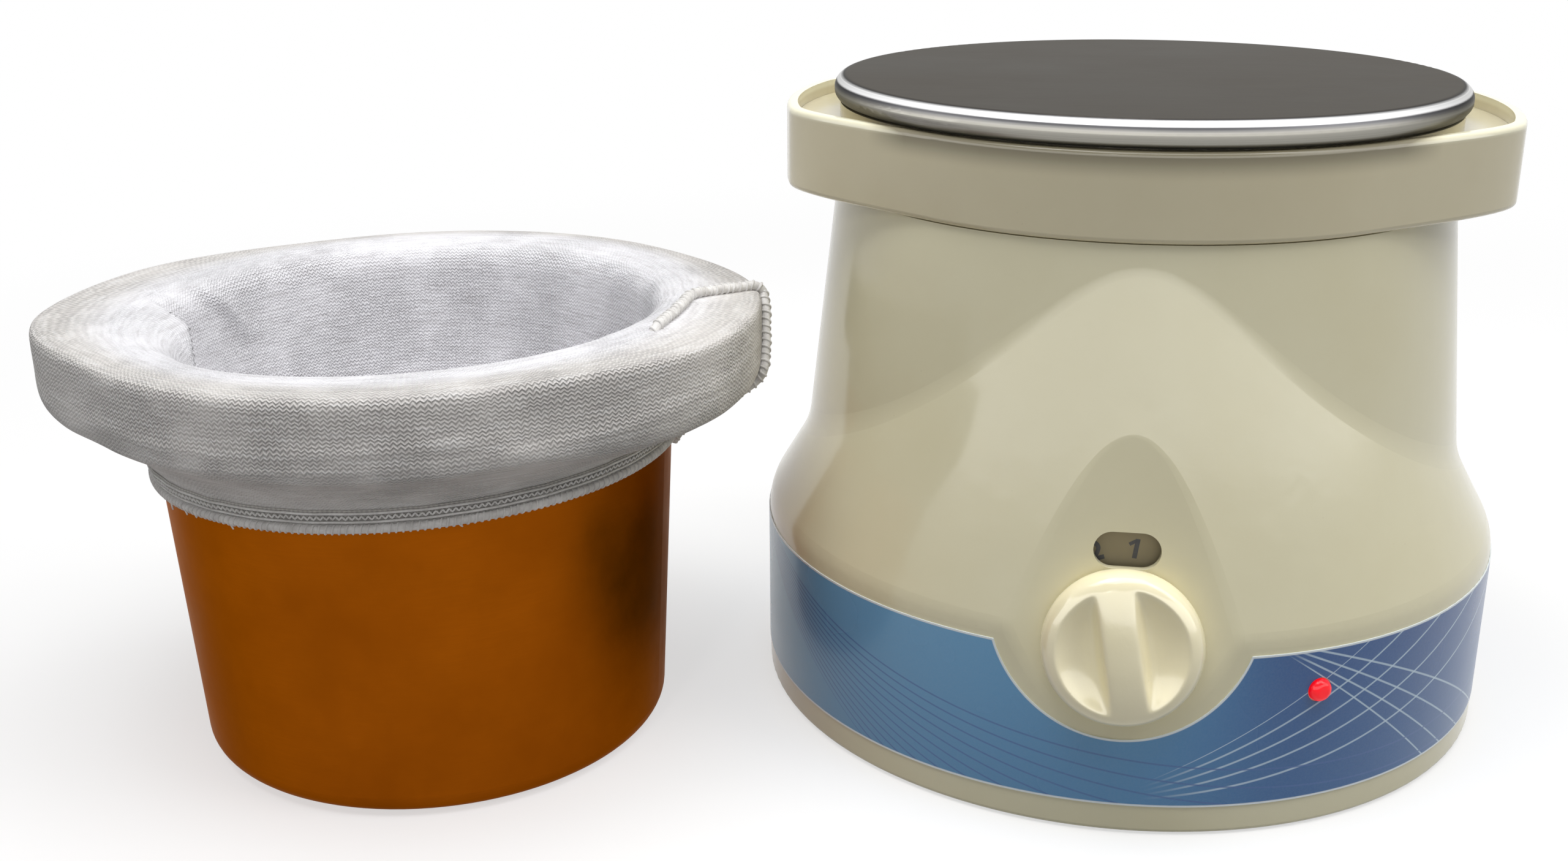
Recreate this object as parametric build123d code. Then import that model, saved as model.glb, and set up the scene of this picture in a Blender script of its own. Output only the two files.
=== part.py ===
# Impression compound heater: an ivory moulded heater base with a lift-out bowl and a lid, and beside it
# a second bowl that wears a stretched cloth cover. Millimetres, +Z up, front towards -Y.
# The origin is on the heater's upright axis, in the plane that it stands on.
from build123d import *
import math
import os

# Housing: an upper cone that widens downwards and stands in a broad round skirt
skirtReach = 20.0
skirtTop = 53.5
housingTop = 147.6
neckFlare = 0.111
wall = 3.0
shoulderRound = 18.0
creaseRound = 20.0
rimRound = 1.2
footProud = 0.2
# The skirt's top is a slanted cone that meets the upper cone in a crease, high at the front
creasePeak = 141.2
backSlope = 0.94

# Facet: the flat tilted face that carries the knob
facetTilt = 8.0
facetSet = 3.6
facetWall = 2.6
facetRound = 10.0
knobHeight = 51.3
windowWidth = 16.4
windowHeight = 9.2
windowRise = 23.5

# Knob, dial and rotary control, measured out from the facet
knobRadius = 19.4
knobTaper = 0.6
knobDepth = 13.6
knobGap = 0.8
knobRound = 3.4
knobTurn = 10.3
knobHollow = 5.0
gripWidth = 8.8
scoopRadius = 15.8
scoopDepth = 7.4
stemRadius = 6.0
stemHole = 7.0
hubRadius = 4.5
dialRadius = 28.6
dialThickness = 1.2
dialFace = 4.9
shaftRadius = 3.0
shaftLength = 22.0
bracketSet = 11.0
bracketWidth = 76.0
bracketDepth = 24.0
bracketSpan = 34.0
bracketDrop = 6.0
bushingRadius = 4.4
bushingLength = 4.8
controlRadius = 8.5
controlDepth = 8.5

# Indicator lamp
lampAside = 49.1
lampHeight = 38.4
lampRadius = 3.0
lampProud = 2.2

# Label wrapped round the skirt, with a notch round the knob
labelBottom = 8.0
labelTop = 49.6
labelThickness = 0.25
labelSpan = 236.0
notchRadius = 33.0
notchHeight = 59.5

# Bowl: a drawn pot that hangs in a collar, inside a band with two ears
potFootRadius = 65.0
potDraft = 0.055
potWall = 1.5
potCorner = 6.0
rimWidth = 4.4
rimThickness = 1.3
bandProud = 1.0
earReach = 13.3
earHalfAngle = 16.0
blendAngle = 52.0
blendPull = 13.0
bandWall = 3.0
bandBottom = 94.8
bandTop = 116.8
bandRound = 1.4
webTop = 112.8
webThickness = 3.0
ledgeWidth = 1.5
collarGap = 0.8
collarReach = 1.4
rimGap = 0.6
lipWidth = 5.1
lipRise = 2.5

# Lid: spun sheet with a rolled edge
lidHeight = 7.0
lidSheet = 1.2
lidRoll = 3.6
lidCurl = 3.6
lidClear = 0.9

# Places of the two bowls, and the running gaps under what lifts off
bandGap = 0.2
bowlGap = 0.3
lidGap = 0.3
spareOverlap = 5.3
spareY = -64.9

# Cloth cover on the spare bowl
clothThickness = 0.9
clothGap = 0.35
clothPull = 16.0
hemBottom = 82.0
hemTop = 87.0
elasticHeight = 4.0
elasticThickness = 0.7
dishFloor = 36.0
dishCorner = 30.0

# Heating well inside the base
plateInset = 5.0
plateThickness = 6.5
plateLap = 6.0
wellGap = 3.3
flangeDrop = 4.0
flangeGap = 0.6
ledgeGap = 2.5
sheet = 1.0
elementInset = 12.0
elementTube = 3.5
elementGap = 12.0
pinLength = 22.0
clampThickness = 1.2
clampReach = 6.0
clampWidth = 8.0
hubBoss = 6.0
shieldDrop = 14.2
shieldReach = 5.2
shieldRim = 4.0
insulationReach = 8.0
insulationThickness = 3.0
cutoutAngle = 30.0
cutoutRadius = 7.5
cutoutHeight = 7.5

# Base plate and what fastens through it
basePlateBottom = 1.5
basePlateThickness = 2.0
boltRadius = 2.0
spacerRadius = 4.0
nutThickness = 3.2
bossInset = 10.5
bossRadius = 5.0
bossTop = 30.0
screwRadius = 1.5
screwHead = 2.8
headThickness = 1.4
footRadius = 8.0
footInset = 21.0
ventInner = 26.0
ventOuter = 46.0
ventWidth = 4.0
ventCount = 12

# Control board
boardLength = 66.0
boardWidth = 46.0
boardThickness = 1.6
boardBottom = 12.0
boardY = 20.0
boardHoleX = 28.0
boardHoleY = 18.0

# Cord entry at the back
glandHeight = 22.0
glandBore = 3.6
glandRadius = 6.0
glandFlange = 9.0

clearance = 0.05
groups = [45, 135, 225, 315]


def polar(radius, degrees, z=0.0):
    a = math.radians(degrees)
    return Vector(radius * math.cos(a), radius * math.sin(a), z)


def pillar(radius, bottom, top, x=0.0, y=0.0):
    upright = Cylinder(radius, top - bottom, align=(Align.CENTER, Align.CENTER, Align.MIN))
    return Pos(x, y, bottom) * upright


def tube(inner, outer, bottom, top, x=0.0, y=0.0):
    return pillar(outer, bottom, top, x, y) - pillar(inner, bottom - 1, top + 1, x, y)


def block(width, depth, bottom, top, x=0.0, y=0.0):
    upright = Box(width, depth, top - bottom, align=(Align.CENTER, Align.CENTER, Align.MIN))
    return Pos(x, y, bottom) * upright


def slab(face, bottom, top):
    return Pos(0, 0, bottom) * extrude(face, top - bottom, dir=(0, 0, 1))


def nearest(vertices, point):
    return min(vertices, key=lambda v: (Vector(v) - point).length)


def spun(points, rounds=()):
    """Revolves an outline of (radius, height) points, with some of its corners rounded first."""
    face = make_face(Polyline(*[(r, 0, z) for r, z in points], close=True))
    for index, radius in rounds:
        corner = Vector(points[index][0], 0, points[index][1])
        face = fillet(nearest(face.vertices(), corner), radius)
    return revolve(face, Axis.Z)


def around(maker, radius, angles):
    """The same upright piece at several angles, as one group."""
    pieces = []
    for angle in angles:
        place = polar(radius, angle)
        pieces.append(maker(place.X, place.Y))
    return pieces


def joined(shape, pieces):
    for piece in pieces:
        shape = shape + piece
    return shape


def cut(shape, pieces):
    for piece in pieces:
        shape = shape - piece
    return shape


def screw(head, thickness, shank, bottom, seat, top, x=0.0, y=0.0):
    """A screw whose head lies between bottom and seat, or above the seat when top is lower."""
    if top > seat:
        return pillar(head, bottom, seat, x, y) + pillar(shank, seat, top, x, y)
    return pillar(head, seat, seat + thickness, x, y) + pillar(shank, top, seat, x, y)


def hexagon(acrossFlats, bottom, top, bore, x=0.0, y=0.0):
    prism = slab(RegularPolygon(acrossFlats / 2, 6, major_radius=False), bottom, top)
    return Pos(x, y, 0) * (prism - pillar(bore, bottom - 1, top + 1))


# What follows from the sizes above
def potAt(z):
    return potFootRadius + potDraft * z


def neckAt(z):
    return neckRadius + neckFlare * (housingTop - z)


seatedFloor = housingTop + bandGap - bandBottom
rimRadius = potAt(bandTop) + rimWidth
lipInner = rimRadius + rimGap
lipOuter = lipInner + lipWidth
lidHem = lipOuter + lidClear
lidRadius = lidHem + lidCurl
bandRadius = lidRadius
earRadius = bandRadius + earReach
collarBore = potAt(bandTop) + collarGap
collarWall = bandRadius - bandWall + collarReach
neckRadius = bandRadius - bandProud
skirtRadius = neckRadius + skirtReach
spareX = spareOverlap - 2 * earRadius
plateRadius = potFootRadius - plateInset
linerRadius = potAt(bandBottom) + wellGap
linerFloorBore = plateRadius - plateLap
linerFlangeRadius = neckRadius - wall - flangeGap
linerFlange = housingTop - flangeDrop
ledgeRadius = linerRadius + sheet + ledgeGap
linerScrewCircle = ledgeRadius + 1.6
linerAngles = [90, 210, 330]
elementRadius = linerFloorBore - elementInset
cutoutCircle = (elementRadius - elementTube) / 2 + hubBoss
clampRadius = elementRadius + clampReach
insulationRadius = elementRadius + insulationReach
boltCircle = (plateRadius + linerRadius) / 2
shieldRadius = boltCircle + shieldReach
bossCircle = skirtRadius - bossInset
footCircle = skirtRadius - footInset
lampAngle = math.degrees(math.asin(lampAside / skirtRadius))
facetFoot = skirtRadius + facetSet

# Housing
facetSin = math.sin(math.radians(facetTilt))
facetCos = math.cos(math.radians(facetTilt))
knobY = facetSin / facetCos * knobHeight - facetFoot
facet = Plane(origin=(0, knobY, knobHeight), x_dir=(1, 0, 0), z_dir=(0, -facetCos, facetSin))
lampOut = Vector(math.sin(math.radians(lampAngle)), -math.cos(math.radians(lampAngle)), 0)
lampSeat = Plane(origin=lampOut * skirtRadius + Vector(0, 0, lampHeight), x_dir=(0, 0, 1), z_dir=lampOut)
glandSeat = Plane(origin=(0, skirtRadius, glandHeight), x_dir=(1, 0, 0), z_dir=(0, 1, 0))
plateTop = basePlateBottom + basePlateThickness


def cone(bottomRadius, topRadius, bottom, top, lean=0.0):
    low = Pos(0, 0, bottom) * Rot(0, 0, 90) * Circle(bottomRadius)
    high = Pos(0, -lean, top) * Rot(0, 0, 90) * Circle(topRadius)
    return loft([low, high], ruled=True)


def creaseEdges(form):
    found = []
    for edge in form.edges():
        box = edge.bounding_box()
        if box.min.Z > skirtTop + 5 and box.max.Z < housingTop - 2 and box.size.X > skirtRadius:
            found.append(edge)
    return found


def shoulderEdges(form):
    found = []
    for edge in form.edges():
        box = edge.bounding_box()
        if abs(box.min.Z - skirtTop) < 0.01 and abs(box.max.Z - skirtTop) < 0.01:
            found.append(edge)
    return found


def housingForm(inset, depth):
    """The moulding's form down to its rim: the outer one, or the cavity when inset by the wall."""
    high = creasePeak + 2
    front = (skirtRadius - neckAt(creasePeak)) / (creasePeak - skirtTop)
    shrink = (front + backSlope) / 2 * (high - skirtTop)
    lean = (backSlope - front) / 2 * (high - skirtTop)
    upper = cone(neckAt(footProud) - inset, neckRadius - inset, footProud, housingTop)
    slanted = cone(skirtRadius - inset, skirtRadius - shrink - inset, skirtTop, high, lean)
    form = upper + slanted + Rot(0, 0, 90) * pillar(skirtRadius - inset, footProud, skirtTop)
    form = fillet(creaseEdges(form), creaseRound)
    form = fillet(shoulderEdges(form), shoulderRound - inset)
    return split(form, bisect_by=facet.offset(-depth), keep=Keep.BOTTOM)


def housing():
    outer = housingForm(0, 0)
    flat = [f for f in outer.faces() if f.geom_type == GeomType.PLANE and f.normal_at().Y < -0.9]
    outer = fillet(flat[0].edges(), facetRound)
    rim = [e for e in outer.edges() if e.geom_type == GeomType.CIRCLE and e.center().Z < 2 * footProud]
    outer = fillet(rim, rimRound)
    cavity = housingForm(wall, facetWall)
    mouth = pillar(neckRadius - wall, housingTop - 1, housingTop + 1)
    below = pillar(skirtRadius - wall, -1, 1)
    shell = outer - cavity - mouth - below
    ledge = tube(ledgeRadius, neckRadius - wall / 2, linerFlange - wall, linerFlange)
    shell = shell + ledge
    shell = joined(shell, around(linerBoss, linerScrewCircle, linerAngles))
    shell = joined(shell, [baseBoss(angle) for angle in groups])
    shell = joined(shell, [bracketBoss(side) for side in (-1, 1)])
    shell = shell - facet.location * Pos(0, windowRise, 0) * slotCutter(windowWidth, windowHeight)
    shell = shell - facet.location * pillar(stemHole, -2 * wall, wall)
    shell = cut(shell, around(linerScrewHole, linerScrewCircle, linerAngles))
    shell = shell - lampSeat.location * pillar(lampRadius + clearance, -2 * wall, wall)
    return shell - glandSeat.location * pillar(glandRadius + clearance, -2 * wall, wall)


def slotCutter(width, height):
    return slab(SlotOverall(width, height), -2 * wall, wall)


def linerBoss(x, y):
    return pillar(2.6, linerFlange - 9, linerFlange - 1, x, y)


def linerScrewHole(x, y):
    return pillar(1.35, linerFlange - 7, linerFlange + 1, x, y)


def baseBoss(angle):
    """Screw boss for the base plate, tied to the skirt by a rib."""
    rib = block(skirtRadius - wall / 2 - bossCircle, 2.4, plateTop, bossTop,
                (skirtRadius - wall / 2 + bossCircle) / 2, 0)
    boss = pillar(bossRadius, plateTop, bossTop, bossCircle, 0) + rib
    boss = boss - pillar(screwRadius + clearance, plateTop - 1, plateTop + 14, bossCircle, 0)
    return Rot(0, 0, angle) * boss


def bracketBoss(side):
    boss = pillar(3.4, -bracketSet, -5.4) - pillar(1.3, -bracketSet - 1, -7.2)
    return facet.location * Pos(side * bracketSpan, -bracketDrop, 0) * boss


# Base plate, feet and the stack of spacers on it
def basePlate():
    plate = pillar(skirtRadius - wall - 0.4, basePlateBottom, plateTop)
    plate = cut(plate, around(lambda x, y: pillar(screwRadius + 0.2, 0, plateTop + 1, x, y), bossCircle, groups))
    plate = cut(plate, around(lambda x, y: pillar(boltRadius + 0.1, 0, plateTop + 1, x, y), boltCircle, groups))
    slot = slab(SlotOverall(ventOuter - ventInner, ventWidth), 0, plateTop + 1)
    middle = (ventInner + ventOuter) / 2
    turns = [360 / ventCount * (i + 0.5) for i in range(ventCount)]
    return cut(plate, [Rot(0, 0, turn) * Pos(middle, 0, 0) * slot for turn in turns])


def foot(x, y):
    return pillar(footRadius, 0, basePlateBottom, x, y)


def baseScrew(x, y):
    return screw(screwHead, headThickness, screwRadius, basePlateBottom - headThickness, basePlateBottom,
                 plateTop + 12, x, y)


linerFloor = seatedFloor - bowlGap - plateThickness - sheet
shieldBottom = linerFloor - shieldDrop


def lowerSpacer(x, y):
    return tube(boltRadius + 0.1, spacerRadius, plateTop, shieldBottom, x, y)


def upperSpacer(x, y):
    return tube(boltRadius + 0.1, spacerRadius, shieldBottom + sheet, linerFloor, x, y)


def throughBolt(x, y):
    return screw(2 * boltRadius, headThickness, boltRadius, basePlateBottom - headThickness, basePlateBottom,
                 linerFloor + sheet + nutThickness + 1, x, y)


def boltNut(x, y):
    return hexagon(3.5 * boltRadius, linerFloor + sheet, linerFloor + sheet + nutThickness,
                   boltRadius + clearance, x, y)


# Heating well: liner, plate, element, clamp, cut-out, insulation and shield
def wellLiner():
    outer = linerRadius + sheet
    liner = spun([(linerFloorBore, linerFloor), (outer, linerFloor), (outer, linerFlange),
                  (linerFlangeRadius, linerFlange), (linerFlangeRadius, linerFlange + sheet),
                  (linerRadius, linerFlange + sheet), (linerRadius, linerFloor + sheet),
                  (linerFloorBore, linerFloor + sheet)])
    holes = around(lambda x, y: pillar(boltRadius + 0.1, linerFloor - 1, linerFloor + 2, x, y), boltCircle, groups)
    slots = around(lambda x, y: pillar(1.5, linerFlange - 1, linerFlange + 2, x, y), linerScrewCircle, linerAngles)
    return cut(liner, holes + slots)


def linerScrew(x, y):
    return screw(2.5, headThickness, 1.3, 0, linerFlange + sheet, linerFlange - 6, x, y)


heaterBottom = linerFloor + sheet
elementHeight = heaterBottom - 0.1 - elementTube
clampTop = elementHeight - elementTube - 0.1
cutoutPlace = polar(cutoutCircle, cutoutAngle)
cutoutEars = [-10.4, 10.4]


def cutoutScrews():
    place = Pos(cutoutPlace.X, cutoutPlace.Y, 0) * Rot(0, 0, cutoutAngle + 90)
    return [place * screw(2.4, headThickness, 1.25, heaterBottom - 1.2 - headThickness, heaterBottom - 1.2,
                          heaterBottom + 3, x) for x in cutoutEars]


def heatingPlate():
    plate = pillar(plateRadius, heaterBottom, heaterBottom + plateThickness)
    plate = plate + pillar(hubBoss, clampTop, heaterBottom + 1)
    place = Pos(cutoutPlace.X, cutoutPlace.Y, 0) * Rot(0, 0, cutoutAngle + 90)
    holes = [place * pillar(1.3, heaterBottom - 1, heaterBottom + 3.5, x) for x in cutoutEars]
    plate = cut(plate, holes + [pillar(2.55, clampTop - 1, clampTop + 7)])
    top = [e for e in plate.edges() if e.geom_type == GeomType.CIRCLE and abs(e.radius - plateRadius) < 0.01]
    return chamfer(top, 0.5)


def heatingElement():
    """A tubular ring with a gap at the front, where its two ends turn down."""
    section = Pos(elementRadius, 0, elementHeight) * Rot(90, 0, 0) * Circle(elementTube)
    ring = Rot(0, 0, -90 + elementGap) * revolve(section, Axis.Z, 360 - 2 * elementGap)
    for side in (-1, 1):
        end = polar(elementRadius, -90 + side * elementGap)
        ring = ring + Pos(end.X, end.Y, elementHeight) * Sphere(elementTube)
        ring = ring + pillar(elementTube, elementHeight - pinLength + 6, elementHeight, end.X, end.Y)
        ring = ring + pillar(1.2, elementHeight - pinLength, elementHeight - pinLength + 6.5, end.X, end.Y)
    return ring


def elementClamp():
    clamp = pillar(2 * hubBoss, clampTop - clampThickness, clampTop)
    for angle in linerAngles:
        arm = block(clampRadius, clampWidth, clampTop - clampThickness, clampTop, clampRadius / 2)
        clamp = clamp + Rot(0, 0, angle) * arm
    return clamp - pillar(2.6, 0, clampTop + 1)


def clampBolt():
    seat = clampTop - clampThickness
    return hexagon(8, seat - 2.4, seat, 0.01) + pillar(2.5, seat - 2.4, clampTop + 6)


def thermalCutout():
    body = pillar(cutoutRadius, heaterBottom - 1.2 - cutoutHeight, heaterBottom - 1.2)
    ears = block(27, 8, heaterBottom - 1.2, heaterBottom)
    tabs = [block(0.8, 5, heaterBottom - 10.8, heaterBottom - cutoutHeight, x) for x in (-4, 4)]
    piece = joined(body + ears, tabs)
    piece = cut(piece, [pillar(1.35, 0, heaterBottom + 1, x) for x in cutoutEars])
    return Pos(cutoutPlace.X, cutoutPlace.Y, 0) * Rot(0, 0, cutoutAngle + 90) * piece


def pinHoles(radius):
    ends = [polar(elementRadius, -90 + side * elementGap) for side in (-1, 1)]
    return [pillar(radius, 0, linerFloor, end.X, end.Y) for end in ends]


def heatShield():
    tray = pillar(shieldRadius, shieldBottom, shieldBottom + sheet)
    tray = tray + tube(shieldRadius - sheet, shieldRadius, shieldBottom, shieldBottom + shieldRim)
    holes = around(lambda x, y: pillar(boltRadius + 0.1, 0, linerFloor, x, y), boltCircle, groups)
    return cut(tray, holes + pinHoles(elementTube + 1))


def insulationDisc():
    low = shieldBottom + sheet
    disc = pillar(insulationRadius, low, low + insulationThickness)
    return cut(disc, pinHoles(elementTube + 0.5))


# Control board and its parts
boardTop = boardBottom + boardThickness
boardHoles = [(x, boardY + y) for x in (-boardHoleX, boardHoleX) for y in (-boardHoleY, boardHoleY)]


def controlBoard():
    board = block(boardLength, boardWidth, boardBottom, boardTop, 0, boardY)
    return cut(board, [pillar(1.6, 0, boardTop + 1, x, y) for x, y in boardHoles])


def boardScrew(x, y):
    return screw(2.4, headThickness, 1.25, 0, boardTop, boardBottom - 5, x, y)


def heatsink():
    """Extruded aluminium comb that cools the triac."""
    comb = block(24, 3, boardTop, boardTop + 15, -14, boardY + 12)
    for i in range(5):
        comb = comb + block(1.2, 8, boardTop, boardTop + 15, -24.5 + i * 5.25, boardY + 17)
    return comb


def triac():
    body = block(10, 4.4, boardTop + 3, boardTop + 12, -14, boardY + 8.3)
    legs = [block(0.8, 0.6, boardTop, boardTop + 3.2, -14 + x, boardY + 8.3) for x in (-2.5, 0, 2.5)]
    return joined(body, legs)


def filmCapacitor():
    body = block(18, 8, boardTop, boardTop + 13, 12, boardY + 10)
    return fillet(body.edges().filter_by(Axis.Z), 1)


def terminalBlock():
    body = block(32, 10, boardTop, boardTop + 11, 8, boardY - 17)
    for i in range(4):
        x = 8 - 12 + i * 8
        body = body - pillar(2.4, boardTop + 6, boardTop + 12, x, boardY - 16)
        body = body - Pos(x, boardY - 22, boardTop + 3.5) * Rot(90, 0, 0) * Cylinder(1.8, 8)
    return body


def fuseHolder():
    body = block(26, 8, boardTop, boardTop + 3, 8, boardY - 5)
    clips = [block(3, 7, boardTop + 2, boardTop + 9, 8 + x, boardY - 5) for x in (-9, 9)]
    body = joined(body, clips)
    return body - Pos(8, boardY - 5, boardTop + 6) * Rot(0, 90, 0) * Cylinder(2.6, 30)


def glassFuse():
    return Pos(8, boardY - 5, boardTop + 6) * Rot(0, 90, 0) * Cylinder(2.55, 20)


# Rotary control behind the facet, drawn in the facet's own frame
bracketBack = -bracketSet - sheet


def controlBracket():
    plate = block(bracketWidth, bracketDepth, bracketBack, -bracketSet, 0, -bracketDrop / 2)
    plate = plate - pillar(bushingRadius + clearance, bracketBack - 1, 0)
    holes = [pillar(1.5, bracketBack - 1, 0, side * bracketSpan, -bracketDrop) for side in (-1, 1)]
    return facet.location * cut(plate, holes)


def bracketScrews():
    return [facet.location * screw(2.4, headThickness, 1.25, bracketBack - headThickness, bracketBack,
                                   bracketBack + 4.5, side * bracketSpan, -bracketDrop) for side in (-1, 1)]


def potentiometer():
    back = bracketBack - controlDepth
    body = pillar(controlRadius, back, bracketBack) + pillar(bushingRadius, bracketBack, bracketBack + bushingLength)
    tabs = [block(1.2, 7, back + 2, back + 2.6, x, -controlRadius - 2) for x in (-4, 0, 4)]
    body = joined(body, tabs) - pillar(shaftRadius + clearance, back + 2, 0)
    return facet.location * body


def potentiometerNut():
    return facet.location * hexagon(12, -bracketSet, -bracketSet + 2.4, bushingRadius + clearance)


def controlShaft():
    low = bracketBack - controlDepth + 3
    rod = pillar(shaftRadius, low, low + shaftLength)
    flat = block(2 * shaftRadius, 2, 1, low + shaftLength + 1, 0, shaftRadius + 0.4)
    return facet.location * (rod - flat)


def dialRing():
    disc = tube(hubRadius + clearance, dialRadius, -dialFace - dialThickness, -dialFace)
    return facet.location * disc


def knob():
    """A round turned grip: a bar across the face between two scooped hollows."""
    shaftTop = bracketBack - controlDepth + 3 + shaftLength
    form = spun([(0, -dialFace - dialThickness), (hubRadius, -dialFace - dialThickness), (hubRadius, -dialFace),
                 (stemRadius, -dialFace), (stemRadius, knobHollow), (knobRadius - 3, knobHollow),
                 (knobRadius - 2.4, knobGap), (knobRadius, knobGap), (knobRadius - knobTaper, knobDepth),
                 (0, knobDepth)], [(8, knobRound)])
    scoop = Polyline((gripWidth / 2, 0, knobDepth + 1), (gripWidth / 2 + 0.8, 0, knobDepth - scoopDepth),
                     (gripWidth / 2 + 4.4, 0, knobDepth - scoopDepth), (scoopRadius, 0, knobDepth - 1.6),
                     (scoopRadius + 0.6, 0, knobDepth + 1), close=True)
    scoopFace = make_face(scoop)
    floor = Vector(gripWidth / 2 + 4.4, 0, knobDepth - scoopDepth)
    scoopFace = fillet(nearest(scoopFace.vertices(), floor), 6)
    cutter = extrude(scoopFace, scoopRadius, dir=(0, 1, 0), both=True)
    cutter = cutter & pillar(scoopRadius, 0, knobDepth + 2)
    form = form - cutter - Rot(0, 0, 180) * cutter
    form = form - pillar(shaftRadius + clearance, -dialFace - dialThickness - 1, shaftTop + 0.5)
    return facet.location * Rot(0, 0, knobTurn) * form


# Indicator lamp, cord gland and label
def indicatorLens():
    stem = pillar(lampRadius, -wall - 2, 0.2)
    dome = spun([(0, 0), (lampRadius, 0), (lampRadius, lampProud), (0, lampProud)], [(2, lampProud - 0.3)])
    flange = pillar(lampRadius + 1, -wall - 2, -wall - 0.8)
    return lampSeat.location * (stem + dome + flange)


def lampHolder():
    holder = tube(1.2, lampRadius + 2, -wall - 9, -wall - 2)
    return lampSeat.location * holder


def cordGland():
    barrel = tube(glandBore, glandRadius, -wall - 8, 0.5)
    flange = tube(glandBore, glandFlange, 0, 2.5)
    return glandSeat.location * (barrel + flange)


def glandNut():
    return glandSeat.location * hexagon(17, -wall - 4.7, -wall - 0.7, glandRadius + clearance)


def label():
    inner = skirtRadius + 0.02
    strip = tube(inner, inner + labelThickness, labelBottom, labelTop)
    gap = 360 - labelSpan
    behind = make_face([Line((0, 0), polar(3 * skirtRadius, 90 - gap / 2)),
                        Line(polar(3 * skirtRadius, 90 - gap / 2), polar(3 * skirtRadius, 90 + gap / 2)),
                        Line(polar(3 * skirtRadius, 90 + gap / 2), (0, 0))])
    strip = strip - slab(behind, 0, 2 * labelTop)
    notch = Pos(0, -skirtRadius, notchHeight) * Rot(90, 0, 0) * Cylinder(notchRadius, skirtRadius)
    return strip - notch - lampSeat.location * pillar(lampRadius + 0.3, -wall, wall)


# Bowl pieces, drawn on the table plane about the Z axis
def outline(base, ear, pull):
    """A closed loop: a circle that swells into an ear on each side."""
    edges = []
    for start in (0, 180):
        edges.append(ThreePointArc(polar(ear, start - earHalfAngle), polar(ear, start), polar(ear, start + earHalfAngle)))
        edges.append(blend(ear, start + earHalfAngle, base, start + blendAngle, pull))
        edges.append(ThreePointArc(polar(base, start + blendAngle), polar(base, start + 90),
                                   polar(base, start + 180 - blendAngle)))
        edges.append(blend(base, start + 180 - blendAngle, ear, start + 180 - earHalfAngle, pull))
    return make_face(edges)


def blend(firstRadius, firstAngle, lastRadius, lastAngle, pull):
    first = polar(firstRadius, firstAngle)
    last = polar(lastRadius, lastAngle)
    leaves = polar(pull, firstAngle + 90)
    arrives = polar(pull, lastAngle + 90)
    return Bezier(first, first + leaves, last - arrives, last)


def bandOutline(inset):
    return outline(bandRadius - inset, earRadius - inset, blendPull)


def pot():
    return spun([(0, 0), (potFootRadius, 0), (potAt(bandTop), bandTop), (rimRadius, bandTop),
                 (rimRadius, bandTop + rimThickness), (potAt(bandTop) - potWall, bandTop + rimThickness),
                 (potAt(potWall) - potWall, potWall), (0, potWall)],
                [(1, potCorner), (6, potCorner - potWall), (5, 1)])


def band():
    shell = slab(bandOutline(0), bandBottom, bandTop)
    rims = [e for e in shell.edges() if abs(e.center().Z - bandTop) < 0.01 or abs(e.center().Z - bandBottom) < 0.01]
    shell = fillet(rims, bandRound)
    shell = shell - slab(bandOutline(bandWall), bandBottom - 1, bandTop + 1)
    ledgeTop = webTop - webThickness
    ledge = slab(bandOutline(bandWall - 0.2), ledgeTop - ledgeWidth, ledgeTop)
    return shell + (ledge - slab(bandOutline(bandWall + ledgeWidth), bandBottom, bandTop))


def collar():
    plate = slab(bandOutline(bandWall + clearance), webTop - webThickness, webTop)
    raised = slab(bandOutline(bandWall + clearance), webTop, bandTop) & pillar(collarWall, webTop, bandTop)
    lip = pillar(lipOuter, bandTop, bandTop + lipRise)
    lip = fillet(lip.edges().filter_by(GeomType.CIRCLE).sort_by(Axis.Z)[-1], 1)
    tray = plate + raised + lip - pillar(lipInner, bandTop, bandTop + lipRise + 1)
    return tray - pillar(collarBore, bandBottom, bandTop + 1)


def lid():
    """Flat sheet whose edge rolls down and under."""
    under = lidHeight - lidSheet
    return spun([(0, lidHeight), (lidRadius, lidHeight), (lidRadius, 0), (lidHem, 0), (lidHem, lidSheet),
                 (lidRadius - lidSheet, lidSheet), (lidRadius - lidSheet, under), (0, under)],
                [(1, lidRoll), (2, lidRoll - 0.6), (6, lidRoll - lidSheet), (5, lidRoll - lidSheet - 0.8)])


# Cloth cover: hem, sloping underside, side, top and the dish that lines the pot
def clothOutline(grow):
    return outline(bandRadius + grow, earRadius + grow, clothPull)


def circleOutline(radius):
    """A circle in the same pieces as the band's outline, so that the two can be lofted."""
    return outline(radius, radius, clothPull)


def clothForm(grow):
    """The closed form round the bowl at a distance: the cloth's outer or inner skin."""
    thin = clothGap + clothThickness - grow
    hem = potAt(hemTop) + grow
    lower = bandBottom - grow
    upper = bandTop + grow
    peak = bandTop + lipRise + grow
    side = clothOutline(grow)
    skirt = loft([Pos(0, 0, hemTop) * circleOutline(hem), Pos(0, 0, lower) * side], ruled=True)
    crown = loft([Pos(0, 0, upper) * side, Pos(0, 0, peak) * circleOutline(lipOuter + grow)], ruled=True)
    sleeve = pillar(hem, hemBottom - thin, hemTop)
    return sleeve + skirt + slab(side, lower, upper) + crown


def dishForm(grow):
    """The solid that fills the lined pot: its skin is the pot's inside moved in by a distance."""
    peak = bandTop + lipRise + clothGap + clothThickness
    floor = dishFloor + clothThickness - grow
    top = potAt(peak) - potWall - clothGap - clothThickness + grow
    low = potAt(floor) - potWall - clothGap - clothThickness + grow
    return spun([(0, floor), (low, floor), (top, peak + 0.01), (0, peak + 0.01)], [(1, dishCorner + grow)])


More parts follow.
